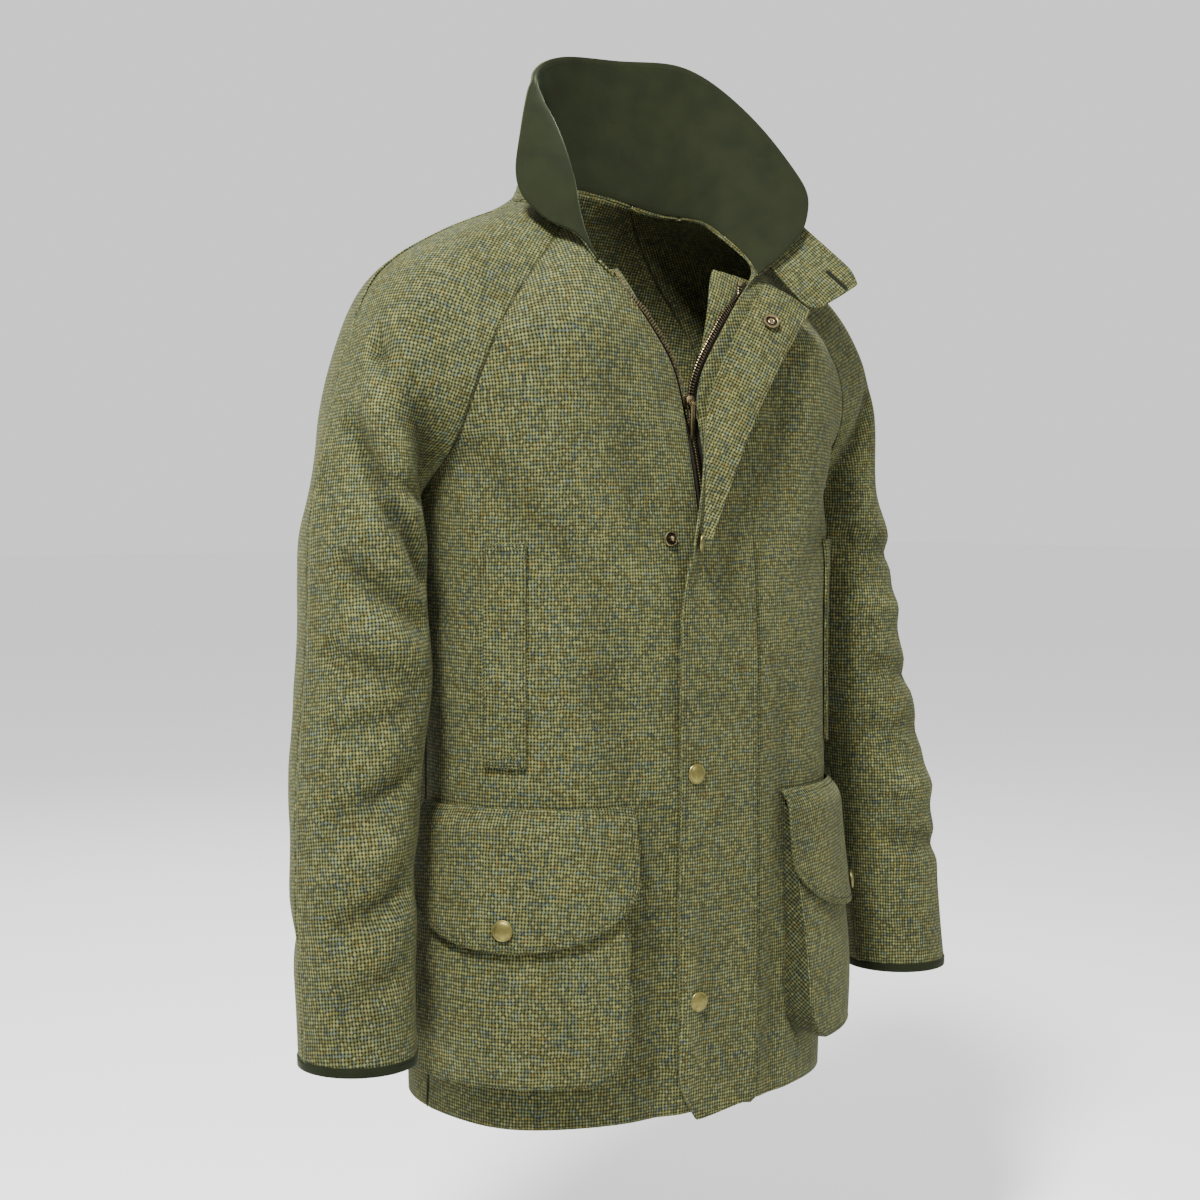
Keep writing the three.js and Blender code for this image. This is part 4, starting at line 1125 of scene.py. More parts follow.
# ---------- sewing ----------
CURVE_STEPS = 8  # the steps between two corners of a line, before it is spaced evenly
STITCH_SIDES = 4
STITCH_BACK = 0.6  # how deep a stitch's ends dip, as a share of its half width
STITCH_SHARE = 0.78  # how much of the pitch is thread, against the gap
STITCH_LIFT = 0.12  # how far a stitch's middle stands off the cloth
WRONG_SIDE = 1.5  # a line this far under a face belongs to the cloth's other side
SHORTEST_RUN = 3  # a run of fewer corners is too short to sew
STEEP = 0.9  # a line that climbs at least this much of its length takes its side from the front
SIDE_GIRTH = 0.8  # the pattern's width over one side of a seam's tube, in radii


def shifted(points: list[Vector], region: Region) -> list[Vector]:
    """Moves places as the creases move the cloth under them.

    Args:
        points: The places, in metres.
        region: The part of the coat they lie on.

    Returns:
        The moved places.
    """
    rows = np.array([tuple(p) for p in points])
    return [Vector(row) for row in rows + crease_shift(rows, region)]


def resampled(points: list[Vector], step: float) -> list[Vector]:
    """Spaces points evenly along a smooth line through others.

    Args:
        points: The line's corners.
        step: The spacing, in metres.

    Returns:
        The even points.
    """
    if len(points) < 2:
        return []
    fine = []
    for i in range(len(points) - 1):
        a, b = points[max(i - 1, 0)], points[i]
        c, d = points[i + 1], points[min(i + 2, len(points) - 1)]
        slope, bend, twist = c - a, 2 * a - 5 * b + 4 * c - d, 3 * b - a - 3 * c + d
        for k in range(CURVE_STEPS):
            t = k / CURVE_STEPS
            fine.append(0.5 * (2 * b + slope * t + bend * t**2 + twist * t**3))
    fine.append(points[-1])
    lengths = [0.0]
    for a, b in zip(fine, fine[1:]):
        lengths.append(lengths[-1] + (b - a).length)
    count = max(2, int(lengths[-1] / step))
    targets = np.linspace(0, lengths[-1], count + 1)
    axes = [np.interp(targets, lengths, [p[k] for p in fine]) for k in range(3)]
    return [Vector(place) for place in zip(*axes)]


def rim_runs(piece: ClothPiece, keep: Keep) -> list[list[tuple]]:
    """Cuts a piece's rims into the runs whose corners are kept.

    Args:
        piece: The cloth.
        keep: Says of a corner's place whether it is wanted.

    Returns:
        The runs, longest first.
    """
    runs = []
    for loop in piece.rims:
        kept = [bool(keep(corner[0])) for corner in loop]
        if all(kept):
            runs.append([*loop, loop[0]])
            continue
        if not any(kept):
            continue
        start = kept.index(False)
        run = []
        for i in range(len(loop) + 1):
            k = (start + i) % len(loop)
            if kept[k] and i < len(loop):
                run.append(loop[k])
            elif run:
                runs.append(run)
                run = []
    return sorted(runs, key=len, reverse=True)


def beads(name: str, places: list, finish: str) -> None:
    """Joins many small stitches into one mesh.

    Args:
        name: The piece's name.
        places: For each stitch its middle, direction, outward side, length and half width.
        finish: The thread's material.
    """
    points, faces = [], []
    for middle, way, out, length, half in places:
        side = way.cross(out).normalized()
        first = len(points)
        dip = out * half * STITCH_BACK
        points += [middle - way * length / 2 - dip, middle + way * length / 2 - dip]
        for turn in range(STITCH_SIDES):
            angle = WHOLE_TURN / STITCH_SIDES * turn
            points.append(middle + side * half * math.cos(angle) + out * half * math.sin(angle))
        for turn in range(STITCH_SIDES):
            a, b = first + 2 + turn, first + 2 + (turn + 1) % STITCH_SIDES
            faces += [(first, b, a), (first + 1, a, b)]
    if points:
        finish_piece(mesh_object(name, points, faces), finish)


def finish_piece(obj: bpy.types.Object, finish: str, body: str = COAT) -> None:
    """Gives a piece its material and its body, with its faces turned out.

    Args:
        obj: The piece.
        finish: The material's name.
        body: The body it rides on.
    """
    activate(obj)
    bpy.ops.object.mode_set(mode="EDIT")
    bpy.ops.mesh.select_all(action="SELECT")
    bpy.ops.mesh.normals_make_consistent(inside=False)
    bpy.ops.object.mode_set(mode="OBJECT")
    obj.data.materials.clear()
    obj.data.materials.append(FINISHES[finish])
    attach(obj, body)
    log.info("%s: %d faces", obj.name, len(obj.data.polygons))


@dataclass
class TopStitching:
    """A row of stitches that follows a piece's edge.

    Attributes:
        name: The piece's name.
        inset: How far it lies inside the edge, in millimetres.
        pitch: The length of one stitch and its gap.
        thread: Half the thread's width.
        finish: The thread's material.
    """

    name: str
    inset: float = 6.0
    pitch: float = 3.4
    thread: float = 0.42
    finish: str = "thread"

    def build(self, piece: ClothPiece, keep: Keep) -> None:
        """Sews along the kept part of a piece's rims.

        Args:
            piece: The cloth.
            keep: Says of a place on a rim whether it is sewn.
        """
        tree = piece.surface()
        places = []
        for run in rim_runs(piece, keep):
            if len(run) < SHORTEST_RUN:
                continue
            line = shifted([place + way * self.inset * MM for place, way, _ in run], piece.region)
            places += self._along(line, tree)
        beads(self.name, places, self.finish)

    def _along(self, line: list[Vector], tree: BVHTree) -> list:
        """Lays stitches along a line on the cloth.

        Args:
            line: The line's corners.
            tree: The cloth's surface.

        Returns:
            The stitches' places, as beads takes them.
        """
        even = resampled(line, self.pitch * MM)
        laid = []
        for a, b in zip(even, even[1:]):
            place, normal, _, _ = tree.find_nearest((a + b) / 2)
            if place is None:
                continue
            toward = (b - a).normalized()
            offset = (a + b) / 2 - place
            if offset.dot(normal) < -WRONG_SIDE * MM:
                normal = -normal
            lifted = place + normal * STITCH_LIFT * MM
            laid.append((lifted, toward, normal, self.pitch * STITCH_SHARE * MM, self.thread * MM))
        return laid


@dataclass
class Seam:
    """The lapped ridge where two pieces of cloth are sewn together.

    Attributes:
        name: The piece's name.
        radius: Half its width, in millimetres.
        reach: How near the two edges lie.
        rise: How far it stands proud.
        finish: The material's name; the default is the tweed darkened as painted shade in the seam's
            groove.
        sides: How many sides the tube has.
        step: The length of one ring of it.
        sunk: How much of its radius lies in the cloth.
        ends: How narrow its two ends are, against its middle.
    """

    name: str
    radius: float = 1.2
    reach: float = 5.0
    rise: float = 0.15
    finish: str = "seam_shade_tweed"
    sides: int = 8
    step: float = 4.0
    sunk: float = 0.45
    ends: float = 0.5

    def build(self, first: ClothPiece, second: ClothPiece) -> None:
        """Runs the ridge along the edge that the two pieces share.

        Args:
            first: The piece whose rim it follows.
            second: The piece it is sewn to.
        """
        shape = second.solid()
        points, faces, grain = [], [], []
        for run in rim_runs(first, lambda p: shape.find_nearest(p)[3] < self.reach * MM):
            if len(run) < SHORTEST_RUN:
                continue
            middle = [(place + shape.find_nearest(place)[0]) / 2 for place, _, _ in run]
            normals = [normal for _, _, normal in run]
            lift = [m + n * (self.rise - self.radius * self.sunk) * MM for m, n in zip(middle, normals)]
            self._tube(resampled(shifted(lift, first.region), self.step * MM), points, faces, grain)
        if not points:
            return
        obj = mesh_object(self.name, points, faces)
        layer = obj.data.uv_layers.new(name=GRAIN_UV)
        for loop in obj.data.loops:
            layer.data[loop.index].uv = grain[loop.vertex_index]
        finish_piece(obj, self.finish)
        bpy.ops.object.shade_smooth()

    def _tube(self, line: list[Vector], points: list, faces: list, grain: list) -> None:
        """Adds one closed tube along a line.

        Args:
            line: The tube's middle, evenly spaced.
            points: The corners so far.
            faces: The faces so far.
            grain: Each corner's place on the pattern, in metres.
        """
        radius = self.radius * MM
        first = len(points)
        for i, place in enumerate(line):
            toward = (line[min(i + 1, len(line) - 1)] - line[max(i - 1, 0)]).normalized()
            steep = abs(toward.z) >= STEEP
            up = Vector((0, 1, 0)) if steep else Vector((0, 0, 1))
            side = toward.cross(up).normalized()
            over = side.cross(toward).normalized()
            taper = self.ends if i in (0, len(line) - 1) else 1.0
            for k in range(self.sides):
                angle = WHOLE_TURN * k / self.sides
                points.append(place + (side * math.cos(angle) + over * math.sin(angle)) * radius * taper)
                grain.append((k * radius * SIDE_GIRTH, i * self.step * MM))
        rings = len(line)
        for i in range(rings - 1):
            for k in range(self.sides):
                a, b = first + i * self.sides + k, first + i * self.sides + (k + 1) % self.sides
                faces.append((a, b, b + self.sides, a + self.sides))
        faces.append(tuple(first + k for k in reversed(range(self.sides))))
        faces.append(tuple(first + (rings - 1) * self.sides + k for k in range(self.sides)))


# ---------- metal ----------
SNAP_EDGE, ZIP_EDGE = math.radians(32), math.radians(35)  # metal turns sharply past these angles


def node_placement(node: str) -> tuple[Vector, Vector]:
    """Finds where a turned piece lies and which way it faces.

    Args:
        node: Its solid.

    Returns:
        The middle of its flat back, and its direction away from the wearer.
    """
    points = coordinates(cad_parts[node].data)
    middle = points.mean(axis=0)
    _, _, axes = np.linalg.svd(points - middle)
    facing = axes[2]
    if facing @ np.array([middle[0], middle[1], 0.0]) < 0:
        facing = -facing
    back = ((points - middle) @ facing).min()
    spread = (points.max(axis=0) + points.min(axis=0)) / 2
    spread += facing * (back - (spread - middle) @ facing)
    return Vector(spread), Vector(facing)


@dataclass
class TurnedMetal:
    """A snap's part, spun from a profile of radius and height in millimetres.

    Attributes:
        node: The solid it stands for.
        profile: Its outline from the rim to the middle.
        finish: The material's name.
        hollow: The inner and outer radius of its groove, painted dark as shade, if it has one.
        proud: How far it stands off its solid's place.
        sides: How many sides it has.
    """

    node: str
    profile: tuple[tuple[float, float], ...]
    finish: str = "brass"
    hollow: tuple[float, float] | None = None
    proud: float = 0.6
    sides: int = 40

    def build(self) -> None:
        """Makes the piece where its solid lies."""
        place, facing = node_placement(self.node)
        place = shifted([place], BODY)[0] + facing * self.proud * MM
        bpy.ops.object.select_all(action="DESELECT")
        radius, height = self.profile[0]
        bpy.ops.mesh.primitive_circle_add(
            vertices=self.sides, radius=radius * MM, fill_type="NGON", location=(0, 0, height * MM)
        )
        obj = bpy.context.active_object
        bpy.ops.object.mode_set(mode="EDIT")
        bpy.ops.mesh.select_mode(type="FACE")
        bpy.ops.mesh.select_all(action="SELECT")
        for next_radius, next_height in self.profile[1:]:
            rise = (0, 0, (next_height - height) * MM)
            bpy.ops.mesh.extrude_region_move(TRANSFORM_OT_translate={"value": rise})
            share = next_radius / radius
            bpy.ops.transform.resize(value=(share, share, 1), center_override=(0, 0, next_height * MM))
            radius, height = next_radius, next_height
        bpy.ops.object.mode_set(mode="OBJECT")
        turn = Vector((0, 0, 1)).rotation_difference(facing).to_matrix().to_4x4()
        radii = [math.hypot(face.center.x, face.center.y) / MM for face in obj.data.polygons]
        obj.data.transform(Matrix.Translation(place) @ turn @ obj.matrix_world)
        obj.matrix_world = Matrix.Identity(4)
        obj.name = f"{self.node}_metal"
        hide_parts(self.node)
        finish_piece(obj, self.finish)
        # The groove's faces take dark metal, painted shade in the recess.
        if self.hollow:
            obj.data.materials.append(FINISHES["groove_shade"])
            for face, radius in zip(obj.data.polygons, radii):
                face.material_index = int(self.hollow[0] < radius < self.hollow[1])
        bpy.ops.object.shade_smooth_by_angle(angle=SNAP_EDGE)


CAP_PROFILE = (
    (8.7, 0), (9.0, 0.35), (9.0, 0.9), (8.7, 1.35), (8.2, 1.55), (7.8, 1.4), (7.5, 1.4), (7.0, 1.7),
    (5.6, 2.15), (3.6, 2.55), (1.6, 2.75), (0.4, 2.8),
)
STUD_PROFILE = (
    (6.4, 0), (6.6, 0.4), (6.5, 1.1), (6.0, 1.4), (5.3, 1.3), (4.8, 0.6), (4.3, 0.15), (2.4, 0.1),
    (2.1, 0.9), (2.1, 2.4), (2.7, 3.0), (2.9, 3.7), (2.3, 4.5), (1.2, 5.0), (0.3, 5.1),
)
SOCKET_PROFILE = (
    (7.2, 0), (7.4, 0.5), (7.3, 1.3), (6.8, 1.8), (6.0, 1.9), (5.3, 1.6), (4.9, 0.9), (4.5, 0.2),
    (3.2, 0.1), (2.9, 0.9), (2.4, 1.1), (1.9, 0.9), (1.5, 0.1), (0.4, 0.08),
)


@dataclass
class MetalCopy:
    """A metal piece whose solid has the right shape and only needs its edges eased.

    Attributes:
        node: The solid it stands for.
        body: The body it rides on.
        finish: The material's name.
        bevel: How far its edges are eased, in millimetres.
        flush: Faces that turn less than this are one.
        corner: Edges that turn more than this are eased.
    """

    node: str
    body: str
    finish: str
    bevel: float
    flush: float = math.radians(2)
    corner: float = math.radians(40)

    def build(self) -> None:
        """Copies the solid, joins its flat faces and rounds its edges."""
        obj = copy_of_node(self.node, f"{self.node}_metal")
        bpy.ops.object.mode_set(mode="EDIT")
        bpy.ops.mesh.select_all(action="SELECT")
        bpy.ops.mesh.dissolve_limited(angle_limit=self.flush)
        bpy.ops.object.mode_set(mode="OBJECT")
        limit = {"limit_method": "ANGLE", "angle_limit": self.corner, "harden_normals": False}
        apply_modifier(obj, "BEVEL", width=self.bevel * MM, segments=2, **limit)
        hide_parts(self.node)
        finish_piece(obj, self.finish, self.body)
        bpy.ops.object.shade_smooth_by_angle(angle=ZIP_EDGE)


SQUARE_CORNERS = ((-1, -1), (1, -1), (1, 1), (-1, 1))
BLOCK_FACES = ((0, 1, 2, 3), (7, 6, 5, 4), (0, 4, 5, 1), (1, 5, 6, 2), (2, 6, 7, 3), (3, 7, 4, 0))


@dataclass
class ZipTeeth:
    """The teeth on one tape's inner edge.

    Attributes:
        side: left or right.
        pitch: From tooth to tooth, in millimetres.
        size: A tooth's reach, height and thickness.
        stop: The top stop's width, length and thickness.
        lift: How far the teeth lie in front of the tape's edge.
        row_corners: How many corners each row of the tape has.
        smoothing: How many times the line of the teeth is eased.
        rings: A tooth's rings from tape to head, as shares of its reach and of its girth.
        ease: How far a stop's edges are eased.
        ahead: The way out of the coat at the zip.
    """

    side: str
    pitch: float = 2.7
    size: Triple = (4.6, 1.4, 2.8)
    stop: Triple = (3.6, 4.6, 2.6)
    lift: float = 1.0
    row_corners: int = 4
    smoothing: int = 1
    rings: tuple[tuple[float, float], ...] = ((-0.45, 0.8), (0.1, 0.75), (0.5, 1.0), (0.62, 0.6))
    ease: float = 0.4
    ahead: Triple = (0.0, -1.0, 0.1)

    def build(self) -> None:
        """Lays the teeth along the tape."""
        tape = copy_of_node(f"{self.side}_zip_tape", f"{self.side}_tape_copy")
        sign = 1 if self.side == "left" else -1
        line = self._inner_line(coordinates(tape.data), sign)
        bpy.data.objects.remove(tape)
        if self.side == "right":
            line = [p + Vector((0, 0, self.pitch * 0.5 * MM)) for p in line]
        points, faces = [], []
        even = resampled(line, self.pitch * MM)
        ahead = Vector(self.ahead).normalized()
        for place, following in zip(even, even[1:]):
            along = (following - place).normalized()
            reach = ahead.cross(along).normalized()
            if reach.x * sign > 0:
                reach.negate()
            axes = (reach, along, ahead)
            self._tooth(place + ahead * self.lift * MM, axes, points, faces)
        finish_piece(mesh_object(f"{self.side}_zip_teeth", points, faces), "bronze")
        self._stop(even[0], (even[1] - even[0]).normalized())

    def _stop(self, place: Vector, along: Vector) -> None:
        """Adds the bright stop that ends the teeth at the top.

        Args:
            place: Where the first tooth lies.
            along: The way down the tape.
        """
        wide, long, thick = (value * MM for value in self.stop)
        bpy.ops.object.select_all(action="DESELECT")
        bpy.ops.mesh.primitive_cube_add(size=1.0)
        obj = bpy.context.active_object
        turn = Vector((0, 0, -1)).rotation_difference(along).to_matrix().to_4x4()
        size = Matrix.Diagonal((wide, thick, long, 1.0))
        obj.data.transform(Matrix.Translation(place - along * long) @ turn @ size)
        obj.name = f"{self.side}_zip_stop"
        apply_modifier(obj, "BEVEL", width=self.ease * MM, segments=2)
        finish_piece(obj, "bright_brass")

    def _inner_line(self, points: np.ndarray, sign: int) -> list[Vector]:
        """Finds the tape's edge that faces the other tape.

        Args:
            points: The tape's corners.
            sign: 1 for the left tape, -1 for the right.

        Returns:
            The edge from the top down.
        """
        corners = np.unique(np.round(points, 5), axis=0)
        order = corners[np.argsort(-corners[:, 2])]
        line = []
        for row in range(0, len(order) - self.row_corners + 1, self.row_corners):
            wall = order[row : row + self.row_corners]
            edge = wall[np.argsort(wall[:, 0] * sign)][: self.row_corners // 2]
            line.append(Vector(edge.mean(axis=0)))
        for _ in range(self.smoothing):
            between = zip(line, line[1:], line[2:])
            line = [line[0], *((a + b * 2 + c) / 4 for a, b, c in between), line[-1]]
        return line

    def _tooth(self, place: Vector, axes: tuple, points: list, faces: list) -> None:
        """Adds one tooth, thicker at its head, to the lists of points and faces.

        Args:
            place: Its middle.
            axes: Its reach towards the other tape, its way down the tape and its way ahead.
            points: The corners so far.
            faces: The faces so far.
        """
        reach, along, ahead = axes
        out, high, thick = (value * MM for value in self.size)
        first = len(points)
        for share, grow in self.rings:
            for a, b in SQUARE_CORNERS:
                side = along * high * 0.5 * a * grow + ahead * thick * 0.5 * b * grow
                points.append(place + reach * out * share + side)
        for ring in range(len(self.rings) - 1):
            for k in range(4):
                a, b = first + ring * 4 + k, first + ring * 4 + (k + 1) % 4
                faces.append((a, b, b + 4, a + 4))
        faces += [(first + 3, first + 2, first + 1, first), tuple(first + 12 + k for k in range(4))]


# ---------- the buttonhole ----------
@dataclass
class Buttonhole:
    """A worked slot: a ring of close stitches round a dark block that is painted shade in its slit.

    Attributes:
        piece: The cloth it is worked in.
        middle: Its middle, in millimetres.
        along: The way it runs.
        length: Its length between the two round ends.
        width: The width from one row of stitches to the other.
        stitch: A stitch's length and half its width.
        lift: How far the stitches stand off the cloth.
        along_count: How many stitches a long side has.
        end_count: How many parts a round end is cut into.
        slit: The slit's share of the length and of the width.
        slit_depth: How far it lies below the stitches, and how thick it is.
        before: How far in front of the cloth the search for it starts.
    """

    piece: str
    middle: Triple
    along: Triple
    length: float = 22.0
    width: float = 2.8
    stitch: tuple[float, float] = (2.8, 0.48)
    lift: float = 0.4
    along_count: int = 30
    end_count: int = 6
    slit: tuple[float, float] = (0.98, 0.22)
    slit_depth: tuple[float, float] = (0.2, 0.3)
    before: float = 50.0

    def build(self, pieces: dict[str, ClothPiece]) -> None:
        """Works the slot on its piece of cloth.

        Args:
            pieces: The cloth by its solids' names.
        """
        ahead = Vector((0, -self.before * MM, 0))
        start = Vector(self.middle) * MM + ahead
        place, normal, _, _ = pieces[self.piece].surface().ray_cast(start, -ahead.normalized())
        way = Vector(self.along)
        way = (way - normal * way.dot(normal)).normalized()
        side = normal.cross(way).normalized()
        place = place + normal * self.lift * MM
        half, ring = self.length / 2 * MM, self.width / 2 * MM
        long, thick = (value * MM for value in self.stitch)
        stitches = []
        for k in range(self.along_count + 1):
            for sign in (-1, 1):
                here = place + way * half * (2 * k / self.along_count - 1) + side * sign * ring
                stitches.append((here, side * sign, normal, long, thick))
        for sign in (-1, 1):
            for k in range(1, self.end_count):
                angle = math.pi * (k / self.end_count - 0.5)
                out = way * sign * math.cos(angle) + side * math.sin(angle)
                stitches.append((place + way * sign * half + out * ring, out, normal, long, thick))
        beads(f"{self.piece}_buttonhole", stitches, "dark_thread")
        # A thin dark block below the stitches fills the slit, painted shade.
        below, deep = (value * MM for value in self.slit_depth)
        corners = []
        for a, b in SQUARE_CORNERS:
            flat = way * a * half * self.slit[0] + side * b * ring * self.slit[1]
            corners.append(place + flat - normal * below)
        corners += [corner + normal * deep for corner in corners]
        finish_piece(mesh_object(f"{self.piece}_slit", corners, list(BLOCK_FACES)), "slot")


# ---------- the stage ----------
@dataclass(frozen=True)
class Camera:
    """The camera that looks at the coat from its right front.

    Attributes:
        place: Where it stands, in metres.
        heading: The level way it looks before its small turns.
        yaw_left: How far it is turned to its left, in degrees.
        pitch_down: How far it is tipped down, in degrees.
        lens: Its focal length in millimetres.
        film: Its film's width in millimetres.
        sight: How far it sees, in metres.
    """

    place: Triple = (-1.034, -1.449, -0.275)
    heading: tuple[float, float] = (0.581, 0.814)
    yaw_left: float = 0.42
    pitch_down: float = 2.82
    lens: float = 57.2
    film: float = 36.0
    sight: float = 200.0

    def build(self) -> None:
        """Adds the camera and makes it the scene's own."""
        data = bpy.data.cameras.new("camera")
        data.lens = self.lens
        data.sensor_width = self.film
        data.clip_end = self.sight
        camera = bpy.data.objects.new("camera", data)
        bpy.context.scene.collection.objects.link(camera)
        ahead = Vector((*self.heading, 0)).normalized()
        left = Vector((-ahead.y, ahead.x, 0))
        yaw, pitch = math.radians(self.yaw_left), math.radians(self.pitch_down)
        ahead = ahead * math.cos(yaw) + left * math.sin(yaw)
        ahead = ahead * math.cos(pitch) - Vector((0, 0, math.sin(pitch)))
        turn = ahead.to_track_quat("-Z", "Y").to_matrix().to_4x4()
        camera.matrix_world = Matrix.Translation(Vector(self.place)) @ turn
        bpy.context.scene.camera = camera


@dataclass(frozen=True)
class SoftLight:
    """One wide studio light."""

    name: str
    place: Triple
    size: float
    power: float
    target: Triple = (0.0, 0.0, -0.4)

    def build(self) -> None:
        """Hangs the light and turns it to the coat."""
        data = bpy.data.lights.new(self.name, "AREA")
        data.shape = "DISK"
        data.size = self.size
        data.energy = self.power
        light = bpy.data.objects.new(self.name, data)
        bpy.context.scene.collection.objects.link(light)
        place = Vector(self.place)
        turn = (Vector(self.target) - place).to_track_quat("-Z", "Y")
        light.matrix_world = Matrix.Translation(place) @ turn.to_matrix().to_4x4()


@dataclass(frozen=True)
class Studio:
    """The pale floor, the lights and the air round them."""

    floor_z: float = -1.1
    floor_size: float = 60.0
    air: float = 1.05

    def build(self) -> None:
        """Sets the stage."""
        bpy.ops.object.select_all(action="DESELECT")
        bpy.ops.mesh.primitive_plane_add(size=self.floor_size, location=(0, 0, self.floor_z))
        floor = bpy.context.active_object
        floor.name = "floor"
        material, n, shader = new_material("pale_floor")
        pale = shade(0.95, 0.95, 0.95)
        n.feed(shader, {"Base Color": pale, "Roughness": 1.0, "Specular IOR Level": 0.0})
        floor.data.materials.append(material)
        world = bpy.data.worlds.new("air")
        world.use_nodes = True
        sky = world.node_tree.nodes["Background"]
        sky.inputs[0].default_value = shade(1.0, 1.0, 1.0)
        sky.inputs[1].default_value = self.air
        bpy.context.scene.world = world
        lights = (
            SoftLight("key", (-1.35, -0.95, 1.7), 0.5, 225.0),
            SoftLight("fill", (0.5, -2.9, 0.9), 1.5, 30.0),
            SoftLight("back", (0.6, 2.6, 1.4), 1.8, 40.0),
        )
        for light in lights:
            light.build()


# ---------- the coat ----------
SEAMS = (
    ("left_front", "left_sleeve_front"), ("right_front", "right_sleeve_front"),
    ("back", "left_sleeve_back"), ("back", "right_sleeve_back"),
    ("back", "left_front"), ("back", "right_front"),
)
NECK_PANELS = (
    "right_front", "right_sleeve_front", "right_sleeve_back", "back",
    "left_sleeve_back", "left_sleeve_front", "left_front",
)
CAPS = ("placket_snap_top", "placket_snap_middle", "placket_snap_low", "left_flap_snap", "right_flap_snap")
RAGLAN_REACH = 0.004  # a front's edge this near its sleeve, in metres, is the raglan seam
POCKET_MOUTH = -0.56  # a pocket bag is stitched below this height, in metres
WELT_MIDDLE, WELT_HALF, BAR_REACH = 0.401, 0.095, 0.003  # where a welt's ends lie, and how near a bar is
BAR_INSETS = (4.6, 7.0, 9.4)
ZIP_SIDE, ZIP_FRONT = 0.1, -0.09  # a front's edge nearer the middle and further ahead is by the zip
ZIP_FOOT, ZIP_HEAD = -0.795, -0.05  # the heights in metres between which it is stitched
PLACKET_SEWN, PLACKET_FLAT = 0.03, -0.32  # past this side, or below this height, the placket is stitched
LAPEL_FRONT = -0.13  # the lapel is stitched where it lies further ahead than this
THROAT_BUTTONHOLE = (168, -108, -66)


def anywhere(_: Vector) -> bool:
    """Keeps the whole of a rim."""
    return True


def beside_zip(place: Vector) -> bool:
    """Keeps a front's edge where it runs down beside the zip."""
    return abs(place.x) < ZIP_SIDE and place.y < ZIP_FRONT and ZIP_FOOT < place.z < ZIP_HEAD


def join(pieces: dict[str, ClothPiece]) -> None:
    """Adds every seam.

    Args:
        pieces: The cloth by its solids' names.
    """
    for side in SIDES:
        seam = Seam(f"seam_{side}_sleeve", 1.3, rise=-0.1, finish="tweed")
        seam.build(pieces[f"{side}_sleeve_front"], pieces[f"{side}_sleeve_back"])
        for half in ("front", "back"):
            seam = Seam(f"seam_{side}_cuff_{half}", 1.2, 4.0, rise=-0.5, finish="binding")
            seam.build(pieces[f"{side}_sleeve_{half}"], pieces[f"{side}_cuff_binding"])
    for first, second in SEAMS:
        Seam(f"seam_{first}_to_{second}").build(pieces[first], pieces[second])
    seam = Seam("seam_placket", 2.0, 8.0, rise=-1.2, finish="turned_tweed")
    seam.build(pieces["front_placket"], pieces["left_front"])
    for panel in NECK_PANELS:
        seam = Seam(f"neck_seam_{panel}", 2.3, 7.0, finish="turned_tweed")
        seam.build(pieces["under_collar"], pieces[panel])


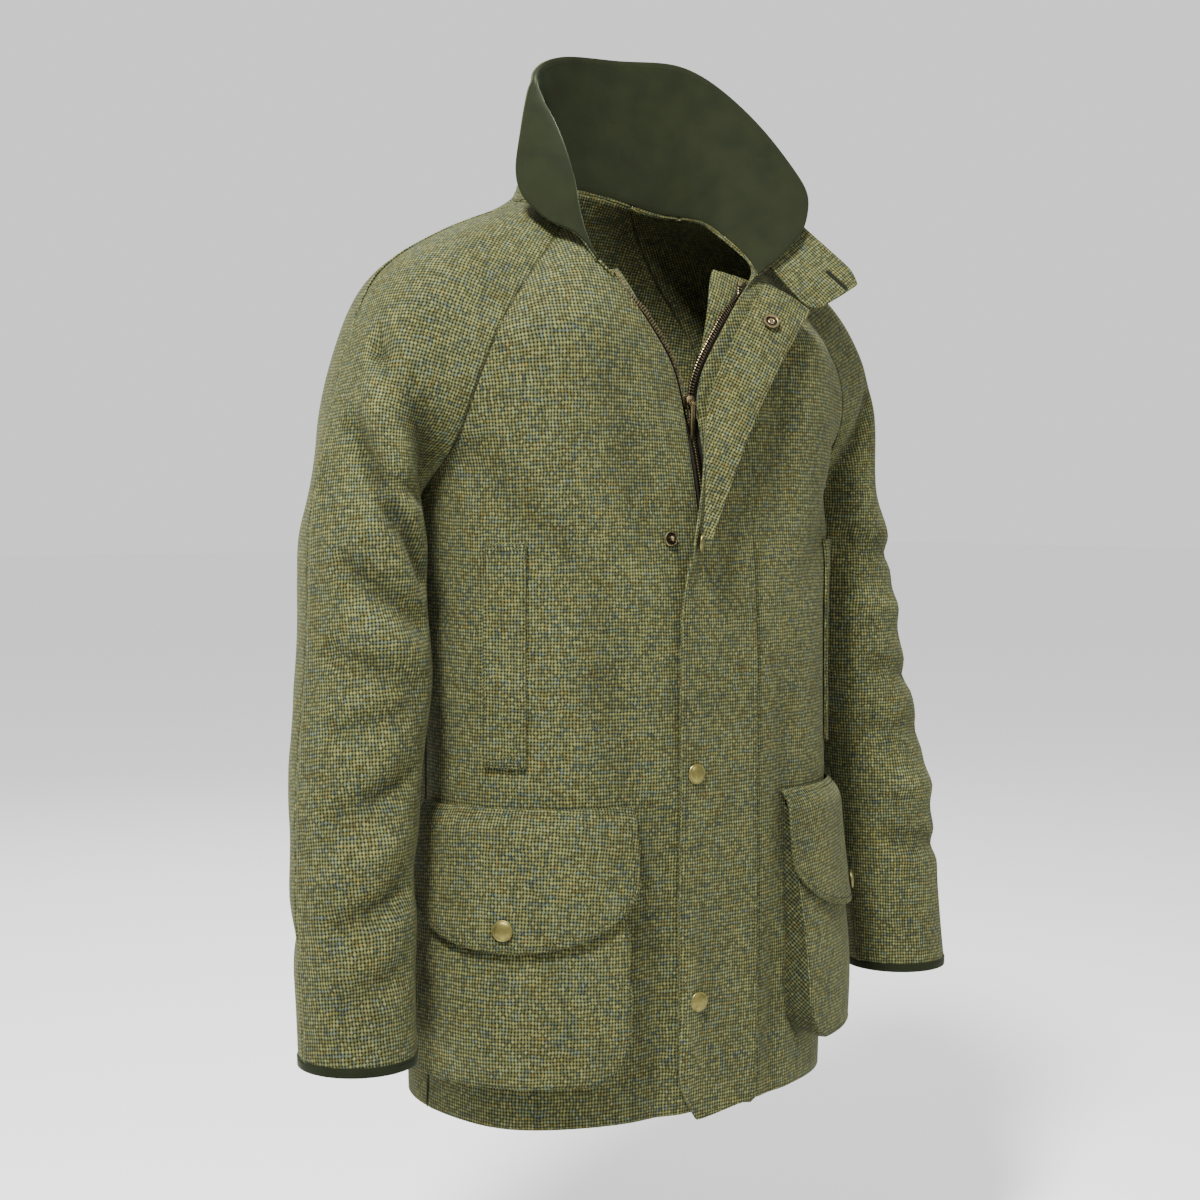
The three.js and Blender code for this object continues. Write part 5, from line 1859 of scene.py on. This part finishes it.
def stitch_side(pieces: dict[str, ClothPiece], side: str) -> None:
    """Adds one side's rows of stitches.

    Args:
        pieces: The cloth by its solids' names.
        side: left or right.
    """
    front, welt = pieces[f"{side}_front"], pieces[f"{side}_handwarmer_welt"]
    sleeve = pieces[f"{side}_sleeve_front"].solid()
    raglan = TopStitching(f"{side}_front_raglan_stitches", 5.5)
    raglan.build(front, lambda p: sleeve.find_nearest(p)[3] < RAGLAN_REACH)
    TopStitching(f"{side}_zip_stitches", 8.0).build(front, beside_zip)
    flap = TopStitching(f"{side}_pocket_flap_stitches", 6.0, 3.4, 0.6, "dark_thread")
    flap.build(pieces[f"{side}_pocket_flap"], anywhere)
    bag = TopStitching(f"{side}_pocket_bag_stitches", 2.5, 3.4, 0.55, "dark_thread")
    bag.build(pieces[f"{side}_pocket_bag"], lambda p: p.z < POCKET_MOUTH)
    TopStitching(f"{side}_welt_stitches", 2.2, 3.0).build(welt, anywhere)
    for row, inset in enumerate(BAR_INSETS):
        bar = TopStitching(f"{side}_welt_bar_{row}", inset, 2.4, 0.5)
        bar.build(welt, lambda p: abs(abs(p.z + WELT_MIDDLE) - WELT_HALF) < BAR_REACH)


def sew(pieces: dict[str, ClothPiece]) -> None:
    """Adds the seams, the rows of stitches and the buttonhole.

    Args:
        pieces: The cloth by its solids' names.
    """
    join(pieces)
    for side in SIDES:
        stitch_side(pieces, side)
    placket = TopStitching("placket_stitches", 5.0)
    placket.build(pieces["front_placket"], lambda p: p.x > PLACKET_SEWN or p.z < PLACKET_FLAT)
    TopStitching("lapel_stitches", 6.0).build(pieces["lapel"], lambda p: p.y < LAPEL_FRONT)
    TopStitching("tab_stitches", 5.0).build(pieces["throat_tab"], anywhere)
    leaf = TopStitching("top_collar_stitches", 6.0, 3.2, 0.4, "dark_thread")
    leaf.build(pieces["top_collar"], anywhere)
    TopStitching("under_collar_stitches", 6.0, 3.2, 0.4).build(pieces["under_collar"], anywhere)
    Buttonhole("throat_tab", THROAT_BUTTONHOLE, TAB_GRAIN).build(pieces)


def fasten() -> None:
    """Adds the snaps and the zip."""
    for name in CAPS:
        TurnedMetal(name, CAP_PROFILE).build()
    TurnedMetal("right_front_stud", STUD_PROFILE, "bright_brass", (2.3, 5.2)).build()
    TurnedMetal("lapel_socket", SOCKET_PROFILE, "bright_brass", (3.0, 5.0)).build()
    MetalCopy("zip_slider", COAT, "bright_brass", 0.35).build()
    MetalCopy("zip_pull", PULL, "bright_brass", 0.3).build()
    for side in SIDES:
        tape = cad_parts[f"{side}_zip_tape"].data
        tape.materials.clear()
        tape.materials.append(FINISHES["tape"])
        ZipTeeth(side).build()


def main() -> None:
    """Builds the coat in order: finishes, cloth, sewing, metal, then the stage."""
    logging.basicConfig(level=logging.INFO, format="%(message)s")
    Camera().build()
    make_finishes()
    pieces = cut_pieces()
    for piece in pieces.values():
        piece.build()
    sew(pieces)
    fasten()
    Studio().build()


if __name__ == "__main__":
    main()
